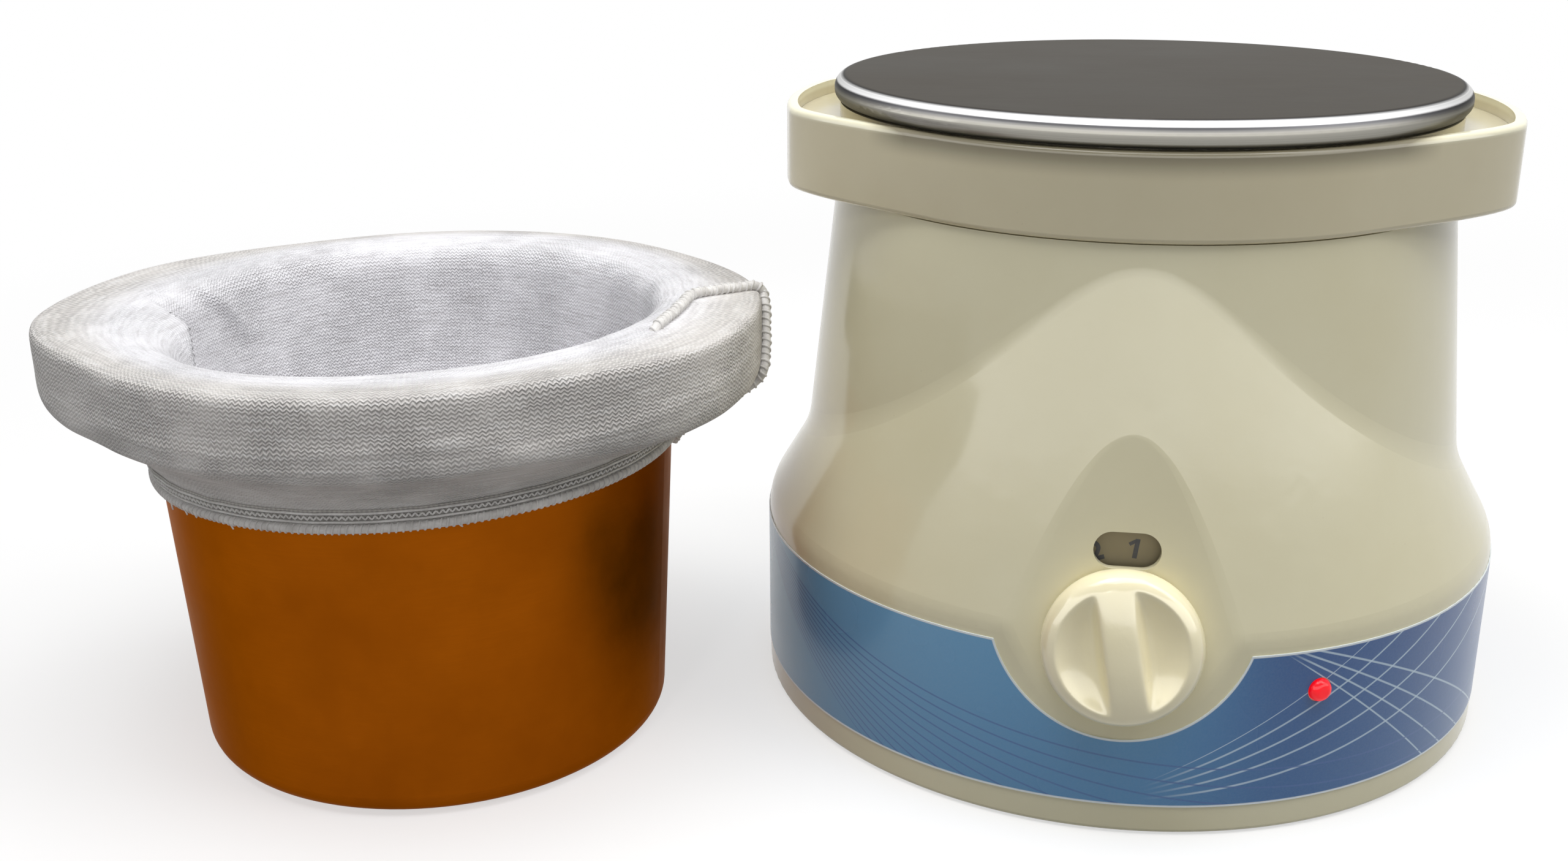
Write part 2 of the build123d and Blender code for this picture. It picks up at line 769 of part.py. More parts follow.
def clothCover():
    skin = clothForm(clothGap + clothThickness) - clothForm(clothGap)
    return skin + (dishForm(clothThickness) - dishForm(0)) - dishForm(0)


def hemElastic():
    inner = potAt(hemTop) + clothGap + clothThickness + clearance
    middle = (hemBottom + hemTop) / 2
    return tube(inner, inner + elasticThickness, middle - elasticHeight / 2, middle + elasticHeight / 2)


def write(name, shape):
    """Writes one piece, or a group of like pieces, as its own file."""
    if isinstance(shape, list):
        shape = Compound(children=[piece.solid() for piece in shape])
    export_step(shape, f"parts/{name}.step")


os.makedirs("parts", exist_ok=True)
seated = Pos(0, 0, seatedFloor)
spare = Pos(spareX, spareY, 0)
closed = Pos(0, 0, seatedFloor + bandTop + lidGap)

write("housing", housing())
write("base_plate", basePlate())
write("base_screws", around(baseScrew, bossCircle, groups))
write("rubber_feet", around(foot, footCircle, [0, 90, 180, 270]))
write("lower_spacers", around(lowerSpacer, boltCircle, groups))
write("upper_spacers", around(upperSpacer, boltCircle, groups))
write("through_bolts", around(throughBolt, boltCircle, groups))
write("bolt_nuts", around(boltNut, boltCircle, groups))
write("well_liner", wellLiner())
write("liner_screws", around(linerScrew, linerScrewCircle, linerAngles))
write("heating_plate", heatingPlate())
write("heating_element", heatingElement())
write("element_clamp", elementClamp())
write("clamp_bolt", clampBolt())
write("thermal_cutout", thermalCutout())
write("cutout_screws", cutoutScrews())
write("heat_shield", heatShield())
write("insulation_disc", insulationDisc())
write("control_board", controlBoard())
write("board_standoffs", [tube(1.3, 2.6, plateTop, boardBottom, x, y) for x, y in boardHoles])
write("board_screws", [boardScrew(x, y) for x, y in boardHoles])
write("heatsink", heatsink())
write("triac", triac())
write("film_capacitor", filmCapacitor())
write("terminal_block", terminalBlock())
write("fuse_holder", fuseHolder())
write("glass_fuse", glassFuse())
write("control_bracket", controlBracket())
write("bracket_screws", bracketScrews())
write("potentiometer", potentiometer())
write("potentiometer_nut", potentiometerNut())
write("control_shaft", controlShaft())
write("dial_ring", dialRing())
write("knob", knob())
write("indicator_lens", indicatorLens())
write("lamp_holder", lampHolder())
write("cord_gland", cordGland())
write("gland_nut", glandNut())
write("label", label())
for name, place in (("seated", seated), ("spare", spare)):
    write(f"{name}_pot", place * pot())
    write(f"{name}_collar", place * collar())
    write(f"{name}_band", place * band())
write("lid", closed * lid())
write("cloth_cover", spare * clothCover())
write("hem_elastic", spare * hemElastic())
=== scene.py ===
# Impression compound heater: looks around the fixed frame
import math

import bmesh
import bpy
from mathutils import Matrix, Vector


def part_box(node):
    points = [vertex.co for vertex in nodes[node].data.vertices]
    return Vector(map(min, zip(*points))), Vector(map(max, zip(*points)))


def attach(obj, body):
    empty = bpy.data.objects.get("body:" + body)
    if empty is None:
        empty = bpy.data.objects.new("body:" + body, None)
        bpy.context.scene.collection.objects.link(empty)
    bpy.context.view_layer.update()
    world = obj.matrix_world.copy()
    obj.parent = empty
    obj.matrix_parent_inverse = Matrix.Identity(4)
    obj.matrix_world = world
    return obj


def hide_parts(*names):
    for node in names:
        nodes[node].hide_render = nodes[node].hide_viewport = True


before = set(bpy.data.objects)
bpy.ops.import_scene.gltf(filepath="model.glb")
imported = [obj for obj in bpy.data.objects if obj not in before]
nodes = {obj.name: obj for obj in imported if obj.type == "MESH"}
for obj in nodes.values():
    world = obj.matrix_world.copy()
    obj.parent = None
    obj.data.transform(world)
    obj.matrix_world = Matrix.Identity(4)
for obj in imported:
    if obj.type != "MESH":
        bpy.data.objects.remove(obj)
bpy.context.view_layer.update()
mm = 0.001


# Camera, as the photograph was taken
camera = {"place": (-0.01595, -0.4855, 0.2384), "yaw": -0.176, "pitch": 0.336, "roll": -0.006,
          "focal": 2755.6, "pixels": 2560, "film": 36}


def putIn(name, data):
    thing = bpy.data.objects.new(name, data)
    bpy.context.scene.collection.objects.link(thing)
    return thing


def makeCamera():
    yaw, pitch, roll = camera["yaw"], camera["pitch"], camera["roll"]
    ahead = Vector((math.sin(yaw) * math.cos(pitch), math.cos(yaw) * math.cos(pitch), -math.sin(pitch)))
    side = Vector((math.cos(yaw), -math.sin(yaw), 0))
    above = side.cross(ahead)
    right = side * math.cos(roll) + above * math.sin(roll)
    up = above * math.cos(roll) - side * math.sin(roll)
    data = bpy.data.cameras.new("photoCamera")
    data.sensor_width = camera["film"]
    data.lens = camera["focal"] / camera["pixels"] * camera["film"]
    data.clip_start = 0.01
    data.clip_end = 20
    thing = putIn("photoCamera", data)
    turn = Matrix((right, up, -ahead)).transposed()
    thing.matrix_world = Matrix.Translation(camera["place"]) @ turn.to_4x4()
    bpy.context.scene.camera = thing


# Studio: soft lamps, a pale floor and a white surround
studio = {
    "top": {"place": (0.05, -0.15, 1.5), "aim": (-0.05, 0, 0.1), "size": (1.3, 1.0), "watts": 18.5},
    "front": {"place": (0.3, -2.2, 0.75), "aim": (0, 0, 0.1), "size": (2.2, 0.7), "watts": 0.4},
    "right": {"place": (1.1, -0.3, 1.4), "aim": (0, 0, 0.1), "size": (0.7, 0.9), "watts": 8},
    "left": {"place": (-0.6, -0.25, 1.6), "aim": (-0.1, 0, 0.1), "size": (0.7, 0.7), "watts": 5.5},
    "dish": {"place": (-0.26, -0.93, 0.72), "aim": (-0.185, -0.02, 0.1), "angle": 15, "watts": 13},
    "ambient": 0.2,
    "reflector": {"radius": 2.4, "low": 0.26, "high": 1.7, "from": -188, "to": 8, "strength": 4.0},
    "floorSeen": 0.93,
    "floorGives": 0.34,
    "fadeFrom": 0.3,
    "fadeTo": 0.8,
    "nearWhite": 0.6,
}
white = (1, 1, 1, 1)


def makeLamp(name):
    spec = studio[name]
    data = bpy.data.lights.new(name + "Lamp", "SPOT" if "angle" in spec else "AREA")
    data.energy = spec["watts"]
    if "angle" in spec:
        data.spot_size = math.radians(spec["angle"])
        data.spot_blend = 1.0
        data.shadow_soft_size = 0.12
    else:
        data.shape = "RECTANGLE"
        data.size, data.size_y = spec["size"]
    lamp = putIn(name + "Lamp", data)
    lamp.location = spec["place"]
    lamp.rotation_euler = (Vector(spec["aim"]) - Vector(spec["place"])).to_track_quat("-Z", "Y").to_euler()
    lamp.visible_camera = False


# Small makers for node trees: each takes the tree first and gives back a socket
def settle(node, **values):
    for key, value in values.items():
        node.inputs[key.replace("_", " ")].default_value = value


def addNode(tree, kind, **values):
    node = tree.nodes.new("ShaderNode" + kind)
    settle(node, **values)
    return node


def feed(tree, socket, term):
    # a number or colour is set there, another node's socket is linked
    if isinstance(term, (int, float, tuple)):
        socket.default_value = term
    else:
        tree.links.new(term, socket)


def reckon(tree, operation, *terms):
    node = addNode(tree, "Math")
    node.operation = operation
    for socket, term in zip(node.inputs, terms):
        feed(tree, socket, term)
    return node.outputs[0]


def plus(tree, *terms):
    return reckon(tree, "ADD", *terms)


def minus(tree, *terms):
    return reckon(tree, "SUBTRACT", *terms)


def times(tree, *terms):
    return reckon(tree, "MULTIPLY", *terms)


def over(tree, *terms):
    return reckon(tree, "DIVIDE", *terms)


def fromAxis(tree, x, y):
    return reckon(tree, "SQRT", plus(tree, times(tree, x, x), times(tree, y, y)))


def blend(tree, share, first, second):
    return plus(tree, times(tree, first, minus(tree, 1.0, share)), times(tree, second, share))


def spread(tree, value, low, high, first=0.0, last=1.0, smooth=False):
    node = addNode(tree, "MapRange")
    node.interpolation_type = "SMOOTHSTEP" if smooth else "LINEAR"
    tree.links.new(value, node.inputs["Value"])
    for key, number in (("From Min", low), ("From Max", high), ("To Min", first), ("To Max", last)):
        node.inputs[key].default_value = number
    return node.outputs["Result"]


def noise(tree, vector, scale, detail=2.0, roughness=0.5):
    node = addNode(tree, "TexNoise", Scale=scale, Detail=detail, Roughness=roughness)
    tree.links.new(vector, node.inputs["Vector"])
    return node.outputs[0]


def mixTone(tree, factor, first, second):
    node = addNode(tree, "Mix")
    node.data_type = "RGBA"
    for place, term in ((0, factor), (6, first), (7, second)):
        feed(tree, node.inputs[place], tone(term) if isinstance(term, (tuple, list)) else term)
    return node.outputs[2]


def mixShader(tree, factor, first, second):
    node = addNode(tree, "MixShader")
    for socket, term in zip(node.inputs, (factor, first, second)):
        tree.links.new(term, socket)
    return node.outputs[0]


def bump(tree, height, depth, under=None):
    node = addNode(tree, "Bump", Strength=1.0, Distance=depth)
    tree.links.new(height, node.inputs["Height"])
    if under is not None:
        tree.links.new(under, node.inputs["Normal"])
    return node.outputs[0]


def tone(rgb):
    # 0 to 255 as seen on a screen, made linear
    return tuple(c / 3294.6 if c <= 10 else ((c / 255 + 0.055) / 1.055) ** 2.4 for c in rgb) + (1.0,)


def startMaterial(name):
    material = bpy.data.materials.new(name)
    material.use_nodes = True
    tree = material.node_tree
    return material, tree, tree.nodes["Principled BSDF"]


def objectPlace(tree, stretch=(1, 1, 1), centre=(0, 0, 0)):
    coords = addNode(tree, "TexCoord")
    mapping = addNode(tree, "Mapping")
    mapping.vector_type = "POINT"
    mapping.inputs["Location"].default_value = [-c * s for c, s in zip(centre, stretch)]
    mapping.inputs["Scale"].default_value = stretch
    tree.links.new(coords.outputs["Object"], mapping.inputs["Vector"])
    return mapping.outputs[0]


def apart(tree, vector):
    node = addNode(tree, "SeparateXYZ")
    tree.links.new(vector, node.inputs[0])
    return node.outputs


def together(tree, *terms):
    node = addNode(tree, "CombineXYZ")
    for socket, term in zip(node.inputs, terms):
        feed(tree, socket, term)
    return node.outputs[0]


def plug(tree, colour, gloss, normal):
    shader = tree.nodes["Principled BSDF"]
    for name, term in (("Base Color", colour), ("Roughness", gloss), ("Normal", normal)):
        tree.links.new(term, shader.inputs[name])


def plugged(tree, name):
    return tree.nodes["Principled BSDF"].inputs[name].links[0].from_socket


def finish(color, shade, patch, rough, grain, depth, **more):
    # two tones and how fine their patches are, lowest and highest roughness, how fine and deep the grain is
    return dict(color=color, shade=shade, patch=patch, rough=rough, grain=grain, depth=depth, **more)


def surface(name, look):
    # the common finish: two tones in soft patches, uneven gloss, a fine grain and sometimes lines
    material, tree, shader = startMaterial(name)
    centre = look.get("centre", (0, 0, 0))
    place = objectPlace(tree, centre=centre)
    patches = spread(tree, noise(tree, place, look["patch"], 4, 0.6), 0.35, 0.65)
    colour = mixTone(tree, patches, look["color"], look["shade"])
    gloss = spread(tree, noise(tree, place, look["patch"] * 2.3, 3, 0.6), 0.3, 0.7, *look["rough"])
    normal = bump(tree, noise(tree, place, look["grain"], 2, 0.6), look["depth"])
    if "lines" in look:
        across, depth = look["lines"]
        if across == "turned":
            x, y, z = apart(tree, place)
            field = together(tree, fromAxis(tree, x, y), z, 0.0)
        else:
            field = objectPlace(tree, across, centre)
        streaks = noise(tree, field, look.get("lineScale", 3000.0), 3, 0.7)
        normal = bump(tree, streaks, depth, normal)
        share = spread(tree, streaks, 0.25, 0.75, 0.0, look.get("lineTone", 0.35))
        colour = mixTone(tree, share, colour, look["shade"])
    plug(tree, colour, gloss, normal)
    settle(shader, Metallic=look.get("metal", 0.0), Coat_Weight=look.get("coat", 0.0), Coat_Roughness=0.1,
           Sheen_Weight=look.get("sheen", 0.0), Specular_IOR_Level=look.get("specular", 0.5))
    return material


def dress(node, material):
    data = nodes[node].data
    if not data.materials:
        data.materials.append(material)
    for place in range(len(data.materials)):
        data.materials[place] = material


def seenRays(tree):
    path = addNode(tree, "LightPath")
    seen = reckon(tree, "MAXIMUM", path.outputs["Is Camera Ray"], path.outputs["Is Glossy Ray"])
    return reckon(tree, "MAXIMUM", seen, path.outputs["Is Transmission Ray"])


def makeWorld():
    world = bpy.data.worlds.new("surround")
    world.use_nodes = True
    tree = world.node_tree
    tree.nodes.clear()
    given = addNode(tree, "Background", Color=white, Strength=studio["ambient"])
    seen = addNode(tree, "Background", Color=white, Strength=1.0)
    out = addNode(tree, "OutputWorld")
    tree.links.new(mixShader(tree, seenRays(tree), given.outputs[0], seen.outputs[0]), out.inputs[0])
    bpy.context.scene.world = world


def makeFloor():
    bm = bmesh.new()
    bmesh.ops.create_grid(bm, x_segments=8, y_segments=8, size=6)
    bmesh.ops.translate(bm, verts=bm.verts, vec=(0, 0, -0.0003))
    floor = meshObject("floor", bm)
    material, tree, shader = startMaterial("paleFloor")
    tree.nodes.remove(shader)
    lit, dim = (addNode(tree, "BsdfDiffuse", Color=(share, share, share, 1)).outputs[0]
                for share in (studio["floorSeen"], studio["floorGives"]))
    glow = addNode(tree, "Emission", Color=white, Strength=1.0)
    x, y, _ = apart(tree, objectPlace(tree))
    fade = spread(tree, fromAxis(tree, x, y), studio["fadeFrom"], studio["fadeTo"], studio["nearWhite"], 1.0,
                  smooth=True)
    seen = mixShader(tree, fade, lit, glow.outputs[0])
    tree.links.new(mixShader(tree, seenRays(tree), dim, seen), tree.nodes["Material Output"].inputs[0])
    floor.data.materials.append(material)


def makeReflector():
    # a curved card in front, above the eye line, that only shows as a soft gloss
    spec = studio["reflector"]
    bm = bmesh.new()
    start = math.radians(spec["from"])
    foot = [bm.verts.new((spec["radius"] * math.cos(start), spec["radius"] * math.sin(start), z))
            for z in (spec["low"], spec["high"])]
    edge = bm.edges.new(foot)
    bmesh.ops.spin(bm, geom=[edge, *foot], cent=(0, 0, 0), axis=(0, 0, 1),
                   angle=math.radians(spec["to"] - spec["from"]), steps=48, use_merge=False)
    card = meshObject("reflector", bm)
    material, tree, shader = startMaterial("reflectorCard")
    tree.nodes.remove(shader)
    light = addNode(tree, "Emission", Color=white, Strength=spec["strength"])
    tree.links.new(light.outputs[0], tree.nodes["Material Output"].inputs[0])
    card.data.materials.append(material)
    card.visible_camera = False
    card.visible_diffuse = False
    card.visible_shadow = False
    card.visible_transmission = False


def meshObject(name, bm, smooth=False):
    data = bpy.data.meshes.new(name)
    bm.to_mesh(data)
    bm.free()
    if smooth:
        data.shade_smooth()
    return putIn(name, data)


makeCamera()
makeWorld()
for lampName in ("top", "front", "right", "left", "dish"):
    makeLamp(lampName)
makeFloor()
makeReflector()
print("camera and studio ready")


# Ivory mouldings
ivory = finish((228, 222, 190), (225, 218, 184), 18, (0.12, 0.18), 420, 0.00002, coat=0.12, specular=0.32,
               specks=0.16, speckTone=(176, 164, 130), speckScale=260, wave=22, waveDepth=0.00012)


def ivoryPlastic(name, **changes):
    look = dict(ivory, **changes)
    material = surface(name, look)
    tree = material.node_tree
    # tiny dark specks in the moulding, and a soft wave where it sank as it cooled
    place = objectPlace(tree)
    cells = addNode(tree, "TexVoronoi", Scale=look["speckScale"])
    tree.links.new(place, cells.inputs["Vector"])
    near = spread(tree, cells.outputs["Distance"], 0.03, 0.07, 1.0, 0.0)
    few = reckon(tree, "GREATER_THAN", noise(tree, place, 90.0, 1), 0.62)
    speck = times(tree, times(tree, near, few), look["specks"])
    colour = mixTone(tree, speck, plugged(tree, "Base Color"), look["speckTone"])
    normal = bump(tree, noise(tree, place, look["wave"], 1), look["waveDepth"], plugged(tree, "Normal"))
    plug(tree, colour, plugged(tree, "Roughness"), normal)
    return material


dress("housing", ivoryPlastic("housingIvory"))
bandIvory = ivoryPlastic("bandIvory", color=(216, 207, 176), shade=(212, 202, 170))
dress("seated_band", bandIvory)

# the band's top edge, by radius and height: a painted highlight along the ears' thin top edges, and painted
# shade from the lid round the ring where the lid sits on it
ringEdge = {"ear": (0.0866, 0.089), "lidShade": (0.1625, 0.1692), "lidShadeShare": 0.75, "lidShadeTone": (104, 97, 76),
            "pale": (0.1676, 0.1688), "earHighlightTone": (238, 233, 205)}


def shadeTopEdge(material):
    tree = material.node_tree
    x, y, z = apart(tree, objectPlace(tree))
    ear = spread(tree, fromAxis(tree, x, y), *ringEdge["ear"])
    # painted shade under the lid away from the ears, and a painted highlight on the ears' top edges
    lidShade = times(tree, spread(tree, z, *ringEdge["lidShade"], 0.0, ringEdge["lidShadeShare"], smooth=True),
                 minus(tree, 1.0, ear))
    pale = times(tree, spread(tree, z, *ringEdge["pale"], smooth=True), ear)
    colour = mixTone(tree, lidShade, plugged(tree, "Base Color"), ringEdge["lidShadeTone"])
    colour = mixTone(tree, pale, colour, ringEdge["earHighlightTone"])
    tree.links.new(colour, tree.nodes["Principled BSDF"].inputs["Base Color"])


shadeTopEdge(bandIvory)
# the collar is a darker copy of the ivory: painted shade from the lid over the ears' webs
shadedCollarIvory = ivoryPlastic("shadedCollarIvory", color=(203, 196, 168), shade=(198, 189, 158))
dress("seated_collar", shadedCollarIvory)


# Satin anodised pots, drawn and then turned bright at the rim
anodised = finish((131, 67, 5), (119, 59, 3), 30, (0.42, 0.5), 5000, 0.000006, metal=1.0,
                  lines=((2, 2, 40), 0.000004), lineScale=60, lineTone=0.5, tint=(0.7, 0.55, 0.45, 1))
spareAxis = (-193.348, -64.9)  # the second bowl's, in millimetres
for node, centre in (("seated_pot", (0, 0, 0)), ("spare_pot", (spareAxis[0] * mm, spareAxis[1] * mm, 0))):
    metal = surface("anodised", dict(anodised, centre=centre))
    settle(metal.node_tree.nodes["Principled BSDF"], Specular_Tint=anodised["tint"])
    dress(node, metal)


# Lid: dull brushed top, and a rolled edge with a painted reflection, dark above and lighter below, and a
# painted highlight line along its rim
lidLook = {
    "top": (112, 108, 103), "edge": (84, 84, 86), "under": (146, 144, 136), "rim": (252, 252, 252),
    "streak": (66, 62, 62), "rough": (0.34, 0.42), "edgeRough": (0.33, 0.41), "scratch": 0.000004,
    "tint": (0.35, 0.35, 0.34, 1),
    # by radius and height: where the edge begins, where the lighter lower part of its painted reflection
    # ends, and the painted highlight line along the rim
    "edgeFrom": (0.0825, 0.0838), "underTo": (0.1735, 0.1752), "highlightAt": 0.17615, "highlightHalf": (0.0004, 0.0008),
}


def lidMetal():
    material, tree, shader = startMaterial("lidMetal")
    place = objectPlace(tree)
    x, y, z = apart(tree, place)
    radius = fromAxis(tree, x, y)
    outer = spread(tree, radius, *lidLook["edgeFrom"], smooth=True)
    brush = noise(tree, objectPlace(tree, (1.0, 24.0, 24.0)), 90.0, 4, 0.7)
    lathe = noise(tree, together(tree, radius, z, 0.0), 2600.0, 3, 0.7)
    fine = mixTone(tree, outer, brush, lathe)
    patches = noise(tree, place, 16.0, 3)
    top = mixTone(tree, spread(tree, patches, 0.3, 0.7), lidLook["top"], [c - 7 for c in lidLook["top"]])
    # painted reflection on the rolled edge: the lighter under tone low down, the darker edge tone above
    above = spread(tree, z, *lidLook["underTo"], smooth=True)
    skirtReflection = mixTone(tree, above, lidLook["under"], lidLook["edge"])
    colour = mixTone(tree, outer, top, skirtReflection)
    # a painted highlight: a thin bright line along the top of the roll
    away = reckon(tree, "ABSOLUTE", minus(tree, z, lidLook["highlightAt"]))
    rim = times(tree, minus(tree, 1.0, spread(tree, away, *lidLook["highlightHalf"])), outer)
    colour = mixTone(tree, rim, colour, lidLook["rim"])
    colour = mixTone(tree, spread(tree, fine, 0.3, 0.75, 0.0, 0.3), colour, lidLook["streak"])
    low = spread(tree, patches, 0.3, 0.7, *lidLook["rough"])
    high = spread(tree, patches, 0.3, 0.7, *lidLook["edgeRough"])
    plug(tree, colour, blend(tree, outer, low, high), bump(tree, fine, lidLook["scratch"]))
    settle(shader, Metallic=1.0, Specular_Tint=lidLook["tint"])
    return material


dress("lid", lidMetal())
print("mouldings, pots and lid finished")


# Cloth cover of the spare bowl: one knitted sheet, drawn over the ring and gathered under it
cover = {
    "around": 300,
    "thickness": 0.8,
    # radius and height of the skin's control points, from the hem over the ring to the dish's middle
    "profile": [
        (70.7, 82.4), (71.1, 84.6), (71.5, 87.4), (72.6, 89.5), (76.5, 93), (82.5, 97.2), (86.6, 99.6),
        (87.8, 102.5), (88, 106), (87.9, 110), (88, 115.2), (87.9, 119.2), (86.2, 120.7), (82, 121.1),
        (78, 121.2), (74.2, 121), (70, 119.9), (67.3, 115.9), (66.3, 110), (65, 103), (63.3, 94), (61, 83),
        (58.3, 70), (55.2, 57), (50.6, 46), (43, 39.2), (33, 36.8), (22, 36.4), (11, 36.3), (0, 36.3)],
    "earRight": 7.2, "earLeft": 12.0, "earLift": -0.4, "earHollow": 0.9, "ringTilt": 0.8, "hemTilt": 2.2,
    "gathers": 0.22, "fold": 9.0, "sag": 5.0, "bridge": 3.4,
    # where along the sheet each of these comes in, is full, begins to fade and is gone
    "spans": {"ear": (9, 20, 44.5, 56.5), "ringTilt": (8, 20, 61.5, 92.5), "hemTilt": (-2, -1, 5, 18),
              "earLift": (10, 19, 22, 34), "gathers": (1, 5, 8, 18), "sag": (55.5, 63.5, 71.5, 109.5),
              "bridge": (55, 63, 64, 104), "fold": (55.5, 67.5, 87.5, 117.5), "slack": (10, 16, 26, 40)},
    # bearing and width of the parts of the ring where the sheet lies differently
    "front": (-56, 46), "back": (70, 62), "left": (-160, 44),
    # bearing of the fold's crease, how far it turns and until where, and how sharp it is before and behind
    "foldLine": (-175, 1.15, 57.5, 26), "foldSoft": 27, "foldSharp": 1.6, "foldEnd": (36, 66),
    # bearing, slope, size, width and span of each wrinkle beside the fold
    "wrinkles": [(174, -0.6, 1.3, 2.0, 57, 84), (168, -0.5, 0.4, 4.0, 61.5, 89.5)],
    # size, bearing from the seam, width, length along the sheet and spread of the puckers beside it
    "puckers": [(0.5, -6, 2.6, 65.5, 8), (0.4, 5, 2.2, 69.5, 9)],
    # bearing, slope and size of the slack lines from the ears' undersides down to the hem
    "slack": [(-38, -1.7, 0.5), (-148, 1.9, 0.4)],
    # bearing, length along the sheet, slope and size of the long soft creases along the ring's side
    "creases": [(-128, 25, 0.02, 0.4), (-112, 31, -0.03, 0.3), (-98, 27, 0.05, 0.42), (-84, 22.5, 0.03, 0.4),
                (-72, 33, 0.04, 0.3), (-58, 26, 0.07, 0.45), (-40, 30, 0.08, 0.4), (-34, 23, 0.06, 0.42),
                (-16, 34, 0.09, 0.35), (35, 27, -0.05, 0.3), (95, 25, 0.05, 0.35), (150, 29, -0.04, 0.35)],
}
seamLook = {
    "core": 1.3, "thread": 0.36, "pitch": 2.1, "out": 1.05,
    # its tail on the pot, as steps out and down, and its end tucked under the rim, as it runs below
    "tail": [(-2.0, -6.6), (-1.5, -5.4), (0.5, -3.0), (0.4, -1.2)],
    "tuck": [(55.3, -16.7, 0.6), (55.4, -17.6, -0.5), (55.6, -18.4, -1.7)],
    # where it runs: length along the sheet from the hem, and bearing
    "line": [(3, 8), (12, 6), (20, 5), (27, 5.5), (32, 8.5), (38, 11.5), (42, 13.5), (44, 15), (47, 14.5),
             (50, 12.5), (53, 9), (56, 4.5), (56.3, -2), (56.2, -7), (56, -12), (55.4, -16)],
}
cosine, sine = math.cos, math.sin


def bell(value, middle, width):
    return math.exp(-((value - middle) / width) ** 2)


def turned(angle, middle):
    # the difference of two angles in degrees, from -180 to 180
    return (angle - middle + 180) % 360 - 180


def bearingOf(place):
    return math.degrees(math.atan2(place.y, place.x))


def ramp(value, low, high):
    t = min(max((value - low) / (high - low), 0.0), 1.0)
    return t * t * (3 - 2 * t)


def inSpan(name, s):
    start, full, fade, end = cover["spans"][name]
    return ramp(s, start, full) * (1 - ramp(s, fade, end))


def inPart(name, angle):
    middle, width = cover[name]
    return bell(turned(angle, middle), 0, width)


def earShare(angle):
    side = abs(turned(angle, 0)) if abs(turned(angle, 0)) < 90 else abs(turned(angle, 180))
    return 1 - ramp(side, 12, 54)


def makeMesh(name, data):
    thing = bpy.data.objects.new(name, data)
    mesh = bpy.data.meshes.new_from_object(thing)
    bpy.data.objects.remove(thing)
    return mesh


def addSpline(data, points, cyclic=False):
    spline = data.splines.new("NURBS")
    spline.points.add(len(points) - 1)
    for point, at in zip(spline.points, points):
        point.co = (*at, 1)
    spline.order_u = 3
    spline.use_endpoint_u = not cyclic
    spline.use_cyclic_u = cyclic


def profileCurve(name, points, fine):
    # a smooth open curve through the control points' hull, given back as a mesh in the XZ plane
    data = bpy.data.curves.new(name, "CURVE")
    data.dimensions = "3D"
    addSpline(data, [(r, 0, z) for r, z in points])
    data.resolution_u = fine
    return makeMesh(name, data)


def spinRound(bm, geom, steps):
    bmesh.ops.spin(bm, geom=geom, cent=(0, 0, 0), axis=(0, 0, 1), angle=math.tau, steps=steps, use_merge=True)
    bmesh.ops.remove_doubles(bm, verts=bm.verts, dist=0.001)
    bmesh.ops.recalc_face_normals(bm, faces=bm.faces)


def spinProfile(points, fine, around):
    mesh = profileCurve("profile", points, fine)
    bm = bmesh.new()
    bm.from_mesh(mesh)
    bpy.data.meshes.remove(mesh)
    along = bm.verts.layers.float.new("along")
    bm.verts.ensure_lookup_table()
    length = 0.0
    before = None
    for vert in bm.verts:
        if before is not None:
            length += (vert.co - before).length
        vert[along] = length
        before = vert.co.copy()
    spinRound(bm, bm.verts[:] + bm.edges[:], around)
    return bm


def ripple(angle, seed):
    # small uneven waves round the hem, the same on each run
    return (sine(math.radians(angle * 31 + seed)) + 0.7 * sine(math.radians(angle * 47 + 2.3 * seed))
            + 0.5 * sine(math.radians(angle * 73 + 5.1 * seed))) / 2.2


